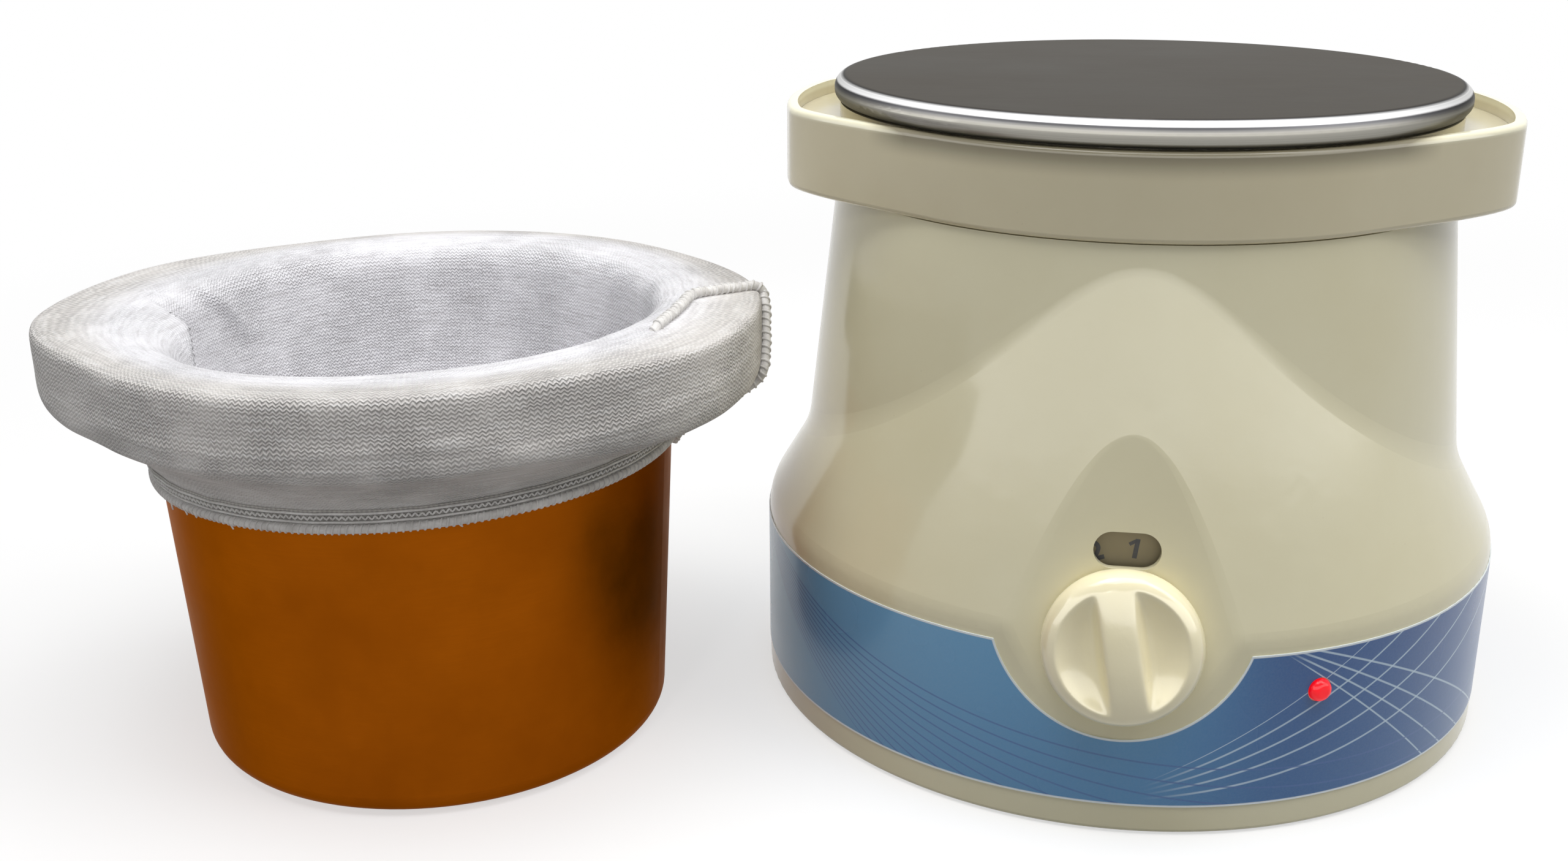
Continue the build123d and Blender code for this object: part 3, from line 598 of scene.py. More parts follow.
def clothMove(r, z, s, angle):
    # where a point of the plain spun sheet lies on the real ring, in millimetres
    ear = earShare(angle)
    reach = cover["earRight"] if abs(turned(angle, 0)) < 90 else cover["earLeft"]
    r += ear * reach * inSpan("ear", s)
    z += cover["ringTilt"] * (1 + cosine(math.radians(angle))) * inSpan("ringTilt", s)
    z += cover["hemTilt"] * cosine(math.radians(angle - 8)) * inSpan("hemTilt", s)
    z += cover["earLift"] * ear * inSpan("earLift", s)
    r += cover["gathers"] * ripple(angle, 11) * inSpan("gathers", s)
    z -= cover["earHollow"] * ear * bell(s, 49.5, 4)  # the crown hollows over the ears' open webs
    # at the front right the sheet bridges the rim, at the left it follows it
    front, left = inPart("front", angle), inPart("left", angle)
    r -= cover["sag"] * front * inSpan("sag", s)
    z -= 0.4 * front * bell(s, 59.5, 6)
    r += 1.2 * left * bell(s, 62.5, 5)
    z -= 0.8 * left * bell(s, 59.5, 5)
    # at the back it slopes from the crown straight down into the dish
    r -= cover["bridge"] * inPart("back", angle) * inSpan("bridge", s)
    # the fold: soft towards the front, sharp behind its crease, which runs down and forward
    start, slope, first, last = cover["foldLine"]
    crease = turned(angle, start + slope * min(max(s - first, 0), last))
    flap = math.exp(-crease / cover["foldSoft"]) if crease > 0 else math.exp(crease / cover["foldSharp"])
    r -= cover["fold"] * flap * inSpan("fold", s) * (1 - ramp(abs(crease), *cover["foldEnd"]))
    for start, slope, size, width, low, high in cover["wrinkles"]:
        line = turned(angle, start + slope * max(s - low, 0))
        r -= size * bell(line, 0, width) * ramp(s, low, low + 9) * (1 - ramp(s, high - 16, high))
    seam = turned(angle, seamAngle(s))
    for size, middle, width, height, tall in cover["puckers"]:
        r -= size * bell(seam, middle, width) * bell(s, height, tall)
    z += 0.3 * bell(seam, 0, 5) * bell(s, 55.5, 9)
    for middle, height, slope, size in cover["creases"]:
        crease = turned(angle, middle)
        r += size * bell(s, height + slope * crease, 1.3) * bell(crease, 0, 20)
    for start, slope, size in cover["slack"]:
        line = turned(angle, start + slope * (s - 20))
        r += size * bell(line, 0, 6) * inSpan("slack", s)
    return r, z


def seamAngle(s):
    # the seam's bearing along the sheet: under the ear, up its end, over the top and round into the dish
    line = seamLook["line"]
    for (s0, a0), (s1, a1) in zip(line, line[1:]):
        if s <= s1:
            return a0 + (a1 - a0) * min(max((s - s0) / (s1 - s0), 0), 1)
    return line[-1][1]


def placed(x, y, z):
    return Vector(((x + spareAxis[0]) * mm, (y + spareAxis[1]) * mm, z * mm))


def clothPoint(r, z, along, angle):
    r, z = clothMove(r, z, along, angle)
    a = math.radians(angle)
    return placed(r * cosine(a), r * sine(a), z)


def makeCover():
    bm = spinProfile(cover["profile"], 4, cover["around"])
    shares, maps = bm.verts.layers.float, bm.loops.layers.uv
    for layers, names in ((shares, ("dish", "inside")), (maps, ("weave", "sheet"))):
        for name in names:
            layers.new(name)
    along, dish, inside = shares["along"], shares["dish"], shares["inside"]
    weave, flat = maps["weave"], maps["sheet"]
    total = max(vert[along] for vert in bm.verts)
    bearings = {vert: bearingOf(vert.co) for vert in bm.verts}
    for face in bm.faces:
        middle = face.calc_center_median()
        home = bearingOf(middle)
        for loop in face.loops:
            vert = loop.vert
            bearing = home + turned(bearings[vert], home) if vert.co.xy.length > 0.01 else home
            loop[weave].uv = (math.radians(bearing) * 90 * mm, vert[along] * mm)
            away = (total - vert[along]) * mm
            a = math.radians(bearings[vert])
            loop[flat].uv = (away * cosine(a), away * sine(a))
    profileSpots = []
    for vert in bm.verts:
        s = vert[along]
        vert[dish] = ramp(s, 104, 118)
        vert[inside] = ramp(s, 48.5, 57)
        if abs(vert.co.y) < 1e-4 and vert.co.x > 0:
            profileSpots.append((s, vert.co.x, vert.co.z))
        vert.co = clothPoint(vert.co.xy.length, vert.co.z, s, bearings[vert])
    piece = meshObject("coverCloth", bm, smooth=True)
    wall = piece.modifiers.new("thickness", "SOLIDIFY")
    wall.thickness = cover["thickness"] * mm
    wall.offset = -1
    wall.use_even_offset = False
    return piece, sorted(profileSpots)


coverCloth, coverLine = makeCover()
print("cover has", len(coverCloth.data.polygons), "faces")


def lineAt(s):
    # radius and height of the plain profile at a length along it
    for (s0, r0, z0), (s1, r1, z1) in zip(coverLine, coverLine[1:]):
        if s0 <= s <= s1:
            t = (s - s0) / max(s1 - s0, 1e-9)
            return r0 + (r1 - r0) * t, z0 + (z1 - z0) * t
    return coverLine[-1][1:]


def onCover(s, angle, out=0.0):
    # a point of the skin, moved outwards along the sheet's normal
    here = clothPoint(*lineAt(s), s, angle)
    if not out:
        return here
    ahead = clothPoint(*lineAt(s + 0.4), s + 0.4, angle) - clothPoint(*lineAt(s - 0.4), s - 0.4, angle)
    across = clothPoint(*lineAt(s), s, angle + 0.4) - clothPoint(*lineAt(s), s, angle - 0.4)
    return here + across.cross(ahead).normalized() * out * mm


def rope(name, points, thick, cyclic=False, sides=2):
    # a smooth round thread through the points, as a mesh with closed ends
    data = bpy.data.curves.new(name, "CURVE")
    data.dimensions = "3D"
    for line in points if isinstance(points[0], list) else [points]:
        addSpline(data, line, cyclic)
    data.resolution_u = 2
    data.bevel_depth = thick * mm
    data.bevel_resolution = sides
    data.use_fill_caps = True
    mesh = makeMesh(name, data)
    mesh.name = name
    mesh.shade_smooth()
    return putIn(name, mesh)


def coil(path, radius, pitch, steps):
    # a thread wound round a path of points
    out = []
    travelled = 0.0
    for place in range(len(path) - 1):
        here, there = path[place], path[place + 1]
        run = there - here
        ahead = run.normalized()
        side = ahead.cross(Vector((0, 0, 1)) if abs(ahead.z) < 0.9 else Vector((0, 1, 0))).normalized()
        above = side.cross(ahead)
        count = max(1, round(run.length / (pitch * mm) * steps))
        for k in range(count):
            t = k / count
            turn = (travelled + run.length * t) / (pitch * mm) * math.tau
            out.append(here + run * t + (side * cosine(turn) + above * sine(turn)) * radius * mm)
        travelled += run.length
    return out


# Hem: a sewn-on elastic, its ladder of stitches, an overlocked edge and a few loose loops
hem = {
    "radius": 70, "weaveRadius": 72, "ladderRadius": 73,
    "elasticLow": 2.3, "elasticHigh": 6.6, "elasticOut": 0.5,
    "edge": 1.1, "edgeAt": (0.9, 0.15), "edgePitch": 1.7, "thread": 0.3,
    "ladderLow": 3.5, "ladderHigh": 5.5, "ladderPitch": 1.6, "ladderOut": 0.75, "ladderThread": 0.27,
    "rails": ((3.2, 0.7), (5.85, 0.7)), "railThread": 0.3, "loopThread": 0.22, "loopWidth": 1.6,
    # bearing and drop of the loose loops
    "loops": ((-129.0, 1.7), (-122.5, 1.1), (-119.0, 0.9), (-108.0, 1.2), (-61.0, 0.8)),
}


def hemRing(s, out, count=144):
    return [onCover(s, k * 360 / count, out) for k in range(count)]


def makeHem():
    # the elastic is one ring of an oval strip that follows the tilted hem
    bm = bmesh.new()
    low, high, out = hem["elasticLow"], hem["elasticHigh"], hem["elasticOut"]
    section = [(low, 0.05), (low + 0.15, out * 0.7), (low + 0.6, out), ((low + high) / 2, out * 0.86),
               (high - 0.6, out), (high - 0.15, out * 0.7), (high, 0.05)]
    verts = [bm.verts.new((hem["radius"] + o, 0, s)) for s, o in section]
    spinRound(bm, verts + [bm.edges.new(pair) for pair in zip(verts, verts[1:] + verts[:1])], 360)
    ribs = bm.loops.layers.uv.new("weave")
    for face in bm.faces:
        middle = face.calc_center_median()
        home = bearingOf(middle)
        for loop in face.loops:
            co = loop.vert.co
            bearing = home + turned(bearingOf(co), home)
            loop[ribs].uv = (math.radians(bearing) * hem["weaveRadius"] * mm, co.z * mm)
    for vert in bm.verts:
        bearing = bearingOf(vert.co)
        vert.co = onCover(vert.co.z, bearing, vert.co.xy.length - hem["radius"])
    elastic = meshObject("hemElastic", bm, smooth=True)
    edgePath = hemRing(*hem["edgeAt"])
    edge = rope("hemEdge", edgePath, hem["edge"], cyclic=True, sides=3)
    overlock = rope("hemOverlock", coil(edgePath + edgePath[:1], hem["edge"] + 0.12, hem["edgePitch"], 9),
                    hem["thread"], sides=1)
    count = round(math.tau * hem["ladderRadius"] / hem["ladderPitch"])
    zigzag = []
    for k in range(count):
        zigzag.append(onCover(hem["ladderLow"], k * 360 / count, hem["ladderOut"]))
        zigzag.append(onCover(hem["ladderHigh"], (k + 0.5) * 360 / count, hem["ladderOut"]))
    ladder = rope("hemLadder", zigzag, hem["ladderThread"], cyclic=True, sides=1)
    rail = rope("hemRail", [hemRing(*rail) for rail in hem["rails"]], hem["railThread"], cyclic=True, sides=1)
    loops = []
    for bearing, drop in hem["loops"]:
        line = []
        for k in range(9):
            t = k / 8
            at = onCover(0.6, bearing + (t - 0.5) * hem["loopWidth"] * cosine(math.pi * t * 0.9), 0.9)
            at.z -= drop * mm * sine(math.pi * t) * 1.25
            line.append(at)
        loops.append(line)
    ends = rope("hemLoops", loops, hem["loopThread"], sides=1)
    return elastic, edge, overlock, ladder, rail, ends


hemPieces = makeHem()
print("hem sewn")


# Seam: the overlocked join, standing up along one line of the cover
def makeSeam():
    path = []
    for (s0, a0), (s1, a1) in zip(seamLook["line"], seamLook["line"][1:]):
        steps = max(2, round(math.hypot(s1 - s0, (a1 - a0) * 1.3) / 1.1))
        for k in range(steps):
            t = k / steps
            lift = seamLook["out"] + 0.12 * sine(len(path) * 0.9)
            path.append(onCover(s0 + (s1 - s0) * t, a0 + (a1 - a0) * t, lift))
    out = (path[0] - placed(0, 0, 0)).to_2d().normalized()
    path = [path[0] + Vector((out.x * o, out.y * o, z)) * mm for o, z in seamLook["tail"]] + path
    path += [onCover(*place) for place in seamLook["tuck"]]
    core = rope("seamCore", path, seamLook["core"], sides=3)
    coils = coil(path, seamLook["core"] + 0.1, seamLook["pitch"], 8)
    return core, rope("seamThreads", coils, seamLook["thread"], sides=1)


seamPieces = makeSeam()


# Cotton: the knit of the cover, the woven elastic and the yarn of its seams
# the inside tone is painted lighter than the outside, as light falling into the dish; the grooves get painted
# shade, and the thick tone is partly a painted highlight on the yarn
knit = {"outside": (213, 209, 205), "inside": (233, 232, 236), "grooveShade": 0.58, "grooveShadeInside": 0.9,
        "thin": (172, 167, 168), "thick": (244, 244, 246), "worn": (206, 202, 204), "wale": 0.0017,
        "course": 0.00105, "finer": 0.85, "uneven": 1.7, "depth": 0.00044, "slub": 0.00026, "sheen": 0.25}
# the low tone is painted shade in the weave's valleys, the high tone sits on the raised ribs
elasticLook = {"low": (110, 106, 102), "high": (170, 166, 160), "fuzz": (214, 211, 205), "rib": 0.0009,
               "pick": 0.0012, "depth": 0.0002, "sheen": 0.25}


def knitHeight(tree, uv, wale, course):
    u, v, _ = apart(tree, uv)
    slant = reckon(tree, "PINGPONG", over(tree, u, wale), 0.5)
    rows = plus(tree, over(tree, v, course), times(tree, slant, 1.3))
    rows = plus(tree, rows, times(tree, noise(tree, uv, 210.0, 2), knit["uneven"]))
    return plus(tree, times(tree, reckon(tree, "SINE", times(tree, rows, math.tau)), 0.42), 0.5)


def readUv(tree, name):
    node = addNode(tree, "UVMap")
    node.uv_map = name
    return node.outputs[0]


def readShare(tree, name):
    node = addNode(tree, "Attribute")
    node.attribute_name = name
    return node.outputs["Fac"]


def slubs(tree, uv):
    # thick places in the yarn, drawn out along the rows
    u, v, _ = apart(tree, uv)
    return noise(tree, together(tree, times(tree, u, 75.0), times(tree, v, 800.0), 0.0), 1.0, 4, 0.7)


def knitCotton():
    material, tree, shader = startMaterial("knitCotton")
    weave, sheet = readUv(tree, "weave"), readUv(tree, "sheet")
    share, inside = readShare(tree, "dish"), readShare(tree, "inside")
    outer = knitHeight(tree, weave, knit["wale"], knit["course"])
    inner = knitHeight(tree, sheet, knit["wale"] * knit["finer"], knit["course"] * knit["finer"])
    stitches = blend(tree, share, outer, inner)
    yarn = blend(tree, share, slubs(tree, weave), slubs(tree, sheet))
    place = objectPlace(tree)
    worn = noise(tree, place, 38.0, 4, 0.6)  # the nap hides the stitches in places
    clear = spread(tree, worn, 0.38, 0.62, 0.3, 1.0)
    shown = plus(tree, times(tree, minus(tree, stitches, 0.5), clear), 0.5)
    fuzz = noise(tree, place, 2600.0, 3, 0.7)
    # painted light: the dish side lighter than the outside
    colour = mixTone(tree, inside, knit["outside"], knit["inside"])
    # painted shade in the grooves between stitches
    grooveShadeTone = mixTone(tree, inside, [c * knit["grooveShade"] for c in knit["outside"]],
                   [c * knit["grooveShadeInside"] for c in knit["inside"]])
    # mixed in: the painted groove shade, thin places in the yarn darker, thick places lighter and partly a
    # painted highlight on the raised yarn, and worn patches
    for part, shade in ((spread(tree, shown, 0.15, 0.6, 0.55, 0.0), grooveShadeTone),
                        (spread(tree, yarn, 0.3, 0.52, 0.42, 0.0), knit["thin"]),
                        (spread(tree, yarn, 0.5, 0.72, 0.0, 0.4), knit["thick"]),
                        (spread(tree, worn, 0.3, 0.7, 0.06, 0.0), knit["worn"])):
        colour = mixTone(tree, part, colour, shade)
    normal = bump(tree, yarn, knit["slub"], bump(tree, fuzz, 0.00008))
    plug(tree, colour, spread(tree, fuzz, 0.3, 0.7, 0.78, 0.95), bump(tree, shown, knit["depth"], normal))
    settle(shader, Sheen_Weight=knit["sheen"], Sheen_Roughness=0.5, Specular_IOR_Level=0.2)
    return material


def elasticWeave():
    material, tree, shader = startMaterial("elasticWeave")
    u, v, _ = apart(tree, readUv(tree, "weave"))
    ribs = reckon(tree, "SINE", times(tree, v, math.tau / elasticLook["rib"]))
    picks = reckon(tree, "SINE", times(tree, u, math.tau / elasticLook["pick"]))
    height = spread(tree, plus(tree, ribs, times(tree, picks, 0.7)), -1.7, 1.7)
    fuzz = noise(tree, objectPlace(tree), 2400.0, 3, 0.7)
    # painted shade in the weave's valleys: darker where ribs and picks are low
    colour = mixTone(tree, height, elasticLook["low"], elasticLook["high"])
    colour = mixTone(tree, spread(tree, fuzz, 0.3, 0.7, 0.0, 0.2), colour, elasticLook["fuzz"])
    normal = bump(tree, height, elasticLook["depth"], bump(tree, fuzz, 0.00006))
    plug(tree, colour, spread(tree, fuzz, 0.3, 0.7, 0.7, 0.9), normal)
    settle(shader, Sheen_Weight=elasticLook["sheen"])
    return material


coverCloth.data.materials.append(knitCotton())
cottonYarn = surface("cottonYarn", finish((232, 230, 228), (206, 203, 200), 300, (0.75, 0.92), 3800, 0.00015,
                                          sheen=0.3, specular=0.2))
hemPieces[0].data.materials.append(elasticWeave())
for piece in hemPieces[1:] + seamPieces:
    piece.data.materials.append(cottonYarn)
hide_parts("cloth_cover")
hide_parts("hem_elastic")
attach(coverCloth, "spare_bowl")
for piece in hemPieces + seamPieces:
    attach(piece, "spare_bowl")
print("cover and seam finished")


# Ring and tray under the cover: the cloth draws their ears in and lies higher under them
spareRing = {"clear": 2.4, "clearTray": 4.0, "lift": 6.1, "inset": 2.4, "from": 0.08, "step": (0.1, 0.11)}


def drawnIn(node, name, clear):
    bm = bmesh.new()
    bm.from_mesh(nodes[node].data)
    bmesh.ops.remove_doubles(bm, verts=bm.verts, dist=1e-6)
    middle = placed(0, 0, 0)
    for vert in bm.verts:
        out = (vert.co - middle).to_2d()
        low = 1 - ramp(vert.co.z, *spareRing["step"])
        if out.length > spareRing["from"]:
            skin = clothMove(87.9, 110, 30, bearingOf(out))[0]
            out *= min(out.length, (skin - clear - spareRing["inset"] * low) * mm) / out.length
            vert.co.xy = middle.xy + out
        vert.co.z += spareRing["lift"] * mm * low
    piece = meshObject(name, bm, smooth=True)
    edges = piece.modifiers.new("edges", "WEIGHTED_NORMAL")
    edges.keep_sharp = True
    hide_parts(node)
    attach(piece, "spare_bowl")
    return piece


drawnIn("spare_band", "spareRing", spareRing["clear"]).data.materials.append(bandIvory)
drawnIn("spare_collar", "spareTray", spareRing["clearTray"]).data.materials.append(shadedCollarIvory)


# Knob: a low barrel of a grip, with a bar across its face between two scooped hollows
facetFrame = Matrix.Translation((0, -0.101414, 0.0513)) @ Matrix(((1, 0, 0, 0), (0, 0.139173, -0.990268, 0),
                                                                 (0, 0.990268, 0.139173, 0), (0, 0, 0, 1)))
knob = {
    # radius and height of the outline's control points, in millimetres out from the facet
    "profile": [
        (0, 4.8), (2.9, 4.8), (3.25, 4.6), (3.25, 4), (3.25, -5), (3.25, -6), (3.4, -6.1), (4.3, -6.1),
        (4.5, -5.9), (4.5, -5), (4.6, -4.9), (5.8, -4.9), (6, -4.8), (6, -4), (6, 1.6), (6.2, 2), (7, 2),
        (14, 2), (16.4, 1.9), (16.8, 1.6), (17, 0.9), (17.3, 0.8), (18.4, 0.8), (19.3, 1), (19.8, 2.4),
        (19.9, 4), (19.6, 5.6), (19, 6.9), (18.2, 7.9), (17.2, 8.6), (16, 9.2), (14.5, 9.7), (12.8, 10.2),
        (11, 10.6), (9, 10.95), (7, 11.2), (5, 11.4), (3, 11.5), (1.2, 11.55), (0, 11.55)],
    "around": 240,
    "turn": 10.3,
    "bar": 4.45,
    "rim": 16.3,
    "scoop": 6.0, "scoopFrom": (6, 8.6), "wall": 1.15, "floor": 4.4,
}


def easeIn(value, size):
    rounded = (value + math.hypot(value, 0.45)) / 2
    return 1 - math.exp(-(rounded / size) ** 1.15)


def makeKnob():
    bm = spinProfile(knob["profile"], 5, knob["around"])
    for vert in bm.verts:
        x, y, z = vert.co
        if z > knob["scoopFrom"][0]:
            wall = easeIn(abs(x) - knob["bar"], knob["wall"])
            floor = easeIn(knob["rim"] - math.hypot(x, y), knob["floor"])
            vert.co.z -= knob["scoop"] * wall * floor * ramp(z, *knob["scoopFrom"])
    bm.transform(facetFrame @ Matrix.Rotation(math.radians(knob["turn"]), 4, "Z") @ Matrix.Scale(mm, 4))
    piece = meshObject("gripKnob", bm, smooth=True)
    piece.data.materials.append(ivoryPlastic("knobIvory", color=(252, 243, 208), shade=(248, 238, 197),
                                             rough=(0.13, 0.2), grain=900.0, coat=0.25, specular=0.5))
    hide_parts("knob")
    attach(piece, "knob")


# Dial behind the window
dial = {"height": 4.6, "slant": 0.05, "weight": 0.24, "thick": 0.03, "radius": 22.75, "face": -4.86,
        "first": 5.4, "step": 24.6, "flagAt": (-0.9, 1.68), "flagTurn": 0.62, "flagSize": (1.9, 0.85, 0.06),
        "tenAside": -1.9}
# a darker copy of the ivory: painted shade on the dial deep in the window's recess
shadedDialLook = dict(ivory, color=(162, 151, 120), shade=(154, 142, 110), rough=(0.4, 0.5), coat=0.0)
ink = finish((18, 17, 16), (34, 32, 29), 900, (0.4, 0.55), 6000, 0.00001)


def makeNumerals():
    # plain numbers from 0 to 10, printed round the dial
    bm = bmesh.new()
    for number in range(11):
        data = bpy.data.curves.new("numeral", "FONT")
        data.body = str(number)
        data.align_x, data.align_y = "CENTER", "CENTER"
        data.size = dial["height"] / 0.7 * mm
        data.shear = dial["slant"]
        data.extrude = dial["thick"] * mm
        data.offset = dial["weight"] * mm
        mesh = makeMesh("numeral", data)
        angle = -math.radians(dial["first"] - dial["step"] * (number - 1))
        place = (facetFrame @ Matrix.Rotation(angle, 4, "Z")
                 @ Matrix.Translation((0, dial["radius"] * mm, dial["face"] * mm)))
        mesh.transform(place)
        bm.from_mesh(mesh)
        bpy.data.meshes.remove(mesh)
        if number in (1, 10):
            # the figure 1 has a flag at its head
            across, up = dial["flagAt"]
            across += dial["tenAside"] if number == 10 else 0
            flag = Matrix.Translation((across * mm, up * mm, 0)) @ Matrix.Rotation(dial["flagTurn"], 4, "Z")
            bmesh.ops.create_cube(bm, size=mm, matrix=place @ flag @ Matrix.Diagonal((*dial["flagSize"], 1)))
    piece = meshObject("dialNumerals", bm)
    piece.data.materials.append(surface("numeralInk", ink))
    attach(piece, "knob")


makeKnob()
makeNumerals()
dress("dial_ring", surface("shadedDialIvory", shadedDialLook))
print("knob and dial finished")


# Label: satin printed film with a die-cut pale edge and fine generic sweeps, no words
label = {
    "left": (108, 166, 206), "middle": (82, 149, 198), "right": (4, 76, 142), "low": (40, 104, 156),
    "edge": (232, 240, 244), "edgeWidth": 0.5, "notch": 33.0, "notchHeight": 59.5, "mottle": (150, 180, 200),
    "top": 49.6, "bottom": 8.0, "rough": (0.24, 0.3), "radius": 105.1, "coat": 0.15,
    "toMiddle": (-105, 20), "toRight": (0, 48), "lowShare": 0.45,
    # fans of fine lines: where each starts along the arc and in height, its lowest and highest slope, the
    # spacing, bend and width of its lines, where along it they come in, and their tone
    "fans": [((-4, 9.0), 0.04, 0.5, 0.1, 1.2, 0.5, (10, 30), (196, 218, 234)),
             ((34, 54.0), -0.66, -0.2, 0.13, -2.2, 0.5, (6, 16), (196, 218, 234)),
             ((-150, 58.0), -0.7, -0.36, 0.028, 0.8, 0.42, (14, 30), (56, 98, 160))],
}


def fanLines(tree, along, height, fan):
    (start, level), low, high, step, bend, width, reach, _ = fan
    away = reckon(tree, "MAXIMUM", minus(tree, along, start), 0.5)
    curve = times(tree, times(tree, away, away), bend / 1000)
    slope = over(tree, minus(tree, minus(tree, height, level), curve), away)
    near = times(tree, reckon(tree, "PINGPONG", over(tree, slope, step), 0.5), step)
    line = spread(tree, times(tree, near, away), width * 0.35, width * 0.75, 1.0, 0.0)
    inside = times(tree, reckon(tree, "GREATER_THAN", slope, low), reckon(tree, "LESS_THAN", slope, high))
    return times(tree, times(tree, line, inside), spread(tree, away, *reach, smooth=True))


def labelFilm():
    material, tree, shader = startMaterial("labelFilm")
    x, y, z = apart(tree, objectPlace(tree, (1000, 1000, 1000)))
    along = times(tree, reckon(tree, "ARCTAN2", x, times(tree, y, -1.0)), label["radius"])
    near, far = (spread(tree, along, *label[part], smooth=True) for part in ("toMiddle", "toRight"))
    colour = mixTone(tree, far, mixTone(tree, near, label["left"], label["middle"]), label["right"])
    low = spread(tree, z, label["top"], label["bottom"], 0.0, label["lowShare"])
    colour = mixTone(tree, low, colour, label["low"])
    for fan in label["fans"]:
        colour = mixTone(tree, times(tree, fanLines(tree, along, z, fan), 0.8), colour, fan[-1])
    notch = fromAxis(tree, x, minus(tree, z, label["notchHeight"]))
    rim = reckon(tree, "MINIMUM", minus(tree, notch, label["notch"]), minus(tree, label["top"], z))
    rim = reckon(tree, "MINIMUM", rim, minus(tree, z, label["bottom"]))
    pale = spread(tree, rim, label["edgeWidth"] * 0.8, label["edgeWidth"] * 1.3, 1.0, 0.0)
    colour = mixTone(tree, pale, colour, label["edge"])
    place = objectPlace(tree)
    mottle = spread(tree, noise(tree, place, 1800.0, 2), 0.3, 0.7, 0.0, 0.05)
    colour = mixTone(tree, mottle, colour, label["mottle"])
    gloss = spread(tree, noise(tree, place, 30.0), 0.3, 0.7, *label["rough"])
    normal = bump(tree, noise(tree, place, 26.0, 1), 0.00008, bump(tree, noise(tree, place, 900.0), 0.000008))
    plug(tree, colour, gloss, normal)
    settle(shader, Coat_Weight=label["coat"])
    return material


dress("label", labelFilm())


# Indicator: a lit red lens
lens = finish((232, 8, 26), (206, 4, 20), 400, (0.1, 0.16), 1800, 0.000012, specular=0.3,
              glow=(255, 10, 30), strength=0.5)


def lensMaterial():
    material = surface("litLens", lens)
    settle(material.node_tree.nodes["Principled BSDF"], Emission_Color=tone(lens["glow"]),
           Emission_Strength=lens["strength"])
    return material


dress("indicator_lens", lensMaterial())
print("label and lamp finished")


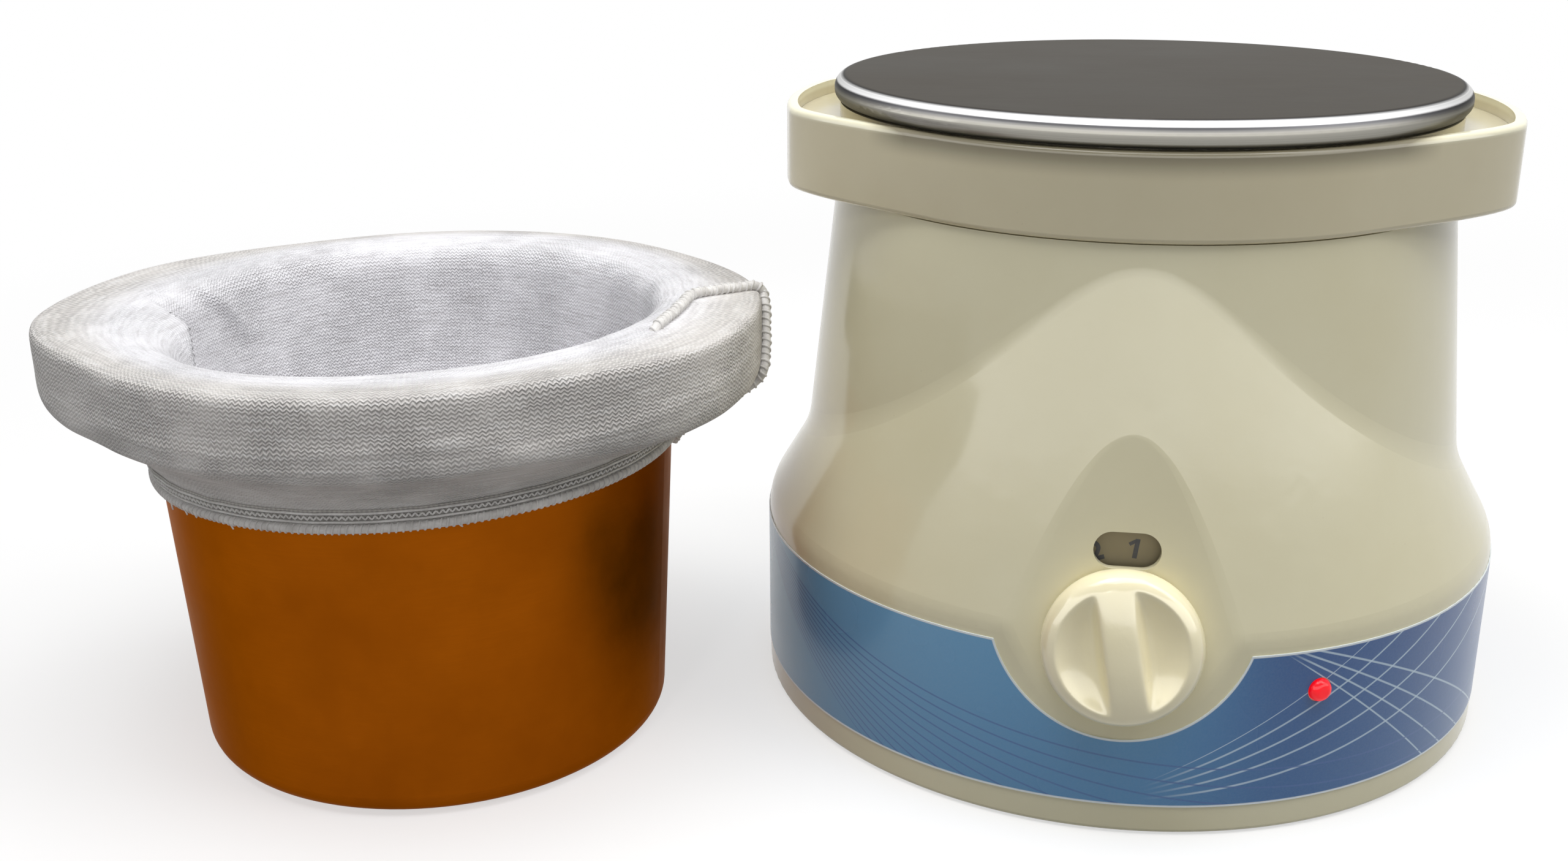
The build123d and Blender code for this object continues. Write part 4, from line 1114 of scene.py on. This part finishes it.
# Hidden works and underside, each in its own finish
zinc = finish((168, 168, 166), (146, 146, 146), 160, (0.32, 0.46), 2600, 0.00002, metal=1.0)
turnedZinc = dict(zinc, lines=("turned", 0.000008), lineTone=0.3)
drawnTube = dict(zinc, lines=((1, 1, 60), 0.000008), lineScale=100)
castPlate = finish((186, 186, 184), (160, 160, 158), 60, (0.3, 0.42), 900, 0.00003, metal=1.0,
                   lines=("turned", 0.00002), lineScale=1800, lineTone=0.5)
rolled = dict(castPlate, patch=40, lines=((1, 1, 30), 0.000008), lineScale=120)
blackMould = finish((34, 34, 35), (26, 26, 27), 120, (0.42, 0.58), 1400, 0.00004)
finishes = {
    "base_plate": dict(zinc, color=(176, 177, 176), patch=26, lines=((1, 40, 1), 0.000008), lineScale=100),
    "rubber_feet": finish((30, 30, 30), (44, 43, 41), 240, (0.72, 0.88), 1800, 0.00008, specular=0.3),
    "base_screws": turnedZinc,
    "lower_spacers": drawnTube,
    "upper_spacers": drawnTube,
    "well_liner": rolled,
    "heating_plate": castPlate,
    "heating_element": finish((96, 88, 80), (66, 60, 58), 50, (0.45, 0.62), 3000, 0.00003, metal=0.8),
    "element_clamp": dict(zinc, color=(150, 148, 144)),
    "thermal_cutout": dict(blackMould, color=(52, 46, 42), shade=(38, 34, 32)),
    "heat_shield": dict(zinc, color=(182, 182, 180), lines=((40, 1, 1), 0.000006), lineScale=90),
    "insulation_disc": finish((214, 208, 190), (194, 187, 168), 90, (0.85, 0.98), 1200, 0.0004, specular=0.2,
                              sheen=0.2),
    "board_standoffs": dict(turnedZinc, color=(196, 160, 92), shade=(176, 138, 70)),
    "control_shaft": dict(turnedZinc, color=(200, 164, 96), shade=(180, 142, 74),
                          centre=tuple((a + b) / 2 for a, b in zip(*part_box("control_shaft")))),
    "heatsink": dict(rolled, color=(176, 177, 178), shade=(156, 157, 158)),
    "triac": dict(blackMould, patch=500),
    "film_capacitor": finish((40, 82, 150), (34, 70, 132), 200, (0.28, 0.36), 700, 0.00005),
    "terminal_block": finish((46, 96, 140), (38, 84, 126), 260, (0.4, 0.5), 1500, 0.00003),
    "control_bracket": dict(zinc, color=(174, 172, 160)),
    "potentiometer": dict(zinc, color=(140, 140, 138), patch=300),
    **dict.fromkeys(("through_bolts", "bolt_nuts", "liner_screws", "clamp_bolt", "cutout_screws",
                     "board_screws", "bracket_screws", "potentiometer_nut"), zinc),
    **dict.fromkeys(("fuse_holder", "lamp_holder", "cord_gland", "gland_nut"), blackMould),
}
for node, look in finishes.items():
    dress(node, surface(node.replace("_", "") + "Finish", look))


# Circuit board: green lacquer over paler tracks, with tinned pads
board = {"green": (26, 84, 48), "track": (44, 122, 70), "pad": (196, 190, 170), "pitch": 0.00254}


def boardMaterial():
    material, tree, _ = startMaterial("boardLacquer")
    place = objectPlace(tree)
    x, y, _ = apart(tree, objectPlace(tree, (1, 1, 0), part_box("control_board")[0]))
    pitch = board["pitch"]
    wander = times(tree, reckon(tree, "ROUND", times(tree, noise(tree, place, 60.0, 1), 6.0)), 0.5)
    across = reckon(tree, "PINGPONG", plus(tree, over(tree, x, pitch), wander), 0.5)
    track = spread(tree, across, 0.13, 0.17, 1.0, 0.0)
    parts = reckon(tree, "GREATER_THAN", noise(tree, place, 110.0, 1), 0.46)
    colour = mixTone(tree, times(tree, track, parts), board["green"], board["track"])
    cell = [minus(tree, reckon(tree, "FRACT", over(tree, side, pitch * 2)), 0.5) for side in (x, y)]
    few = reckon(tree, "GREATER_THAN", noise(tree, place, 150.0, 0), 0.56)
    pad = times(tree, reckon(tree, "LESS_THAN", fromAxis(tree, *cell), 0.16), few)
    gloss = spread(tree, noise(tree, place, 400.0), 0.3, 0.7, 0.28, 0.42)
    plug(tree, mixTone(tree, pad, colour, board["pad"]), gloss, bump(tree, track, 0.00003))
    return material


def fuseGlass():
    look = finish((226, 238, 236), (210, 226, 224), 300, (0.03, 0.08), 900, 0.000004)
    material = surface("fuseGlass", look)
    settle(material.node_tree.nodes["Principled BSDF"], Transmission_Weight=0.85)
    return material


dress("control_board", boardMaterial())
dress("glass_fuse", fuseGlass())
print("works and underside finished")

bpy.context.scene.view_settings.view_transform = "Standard"
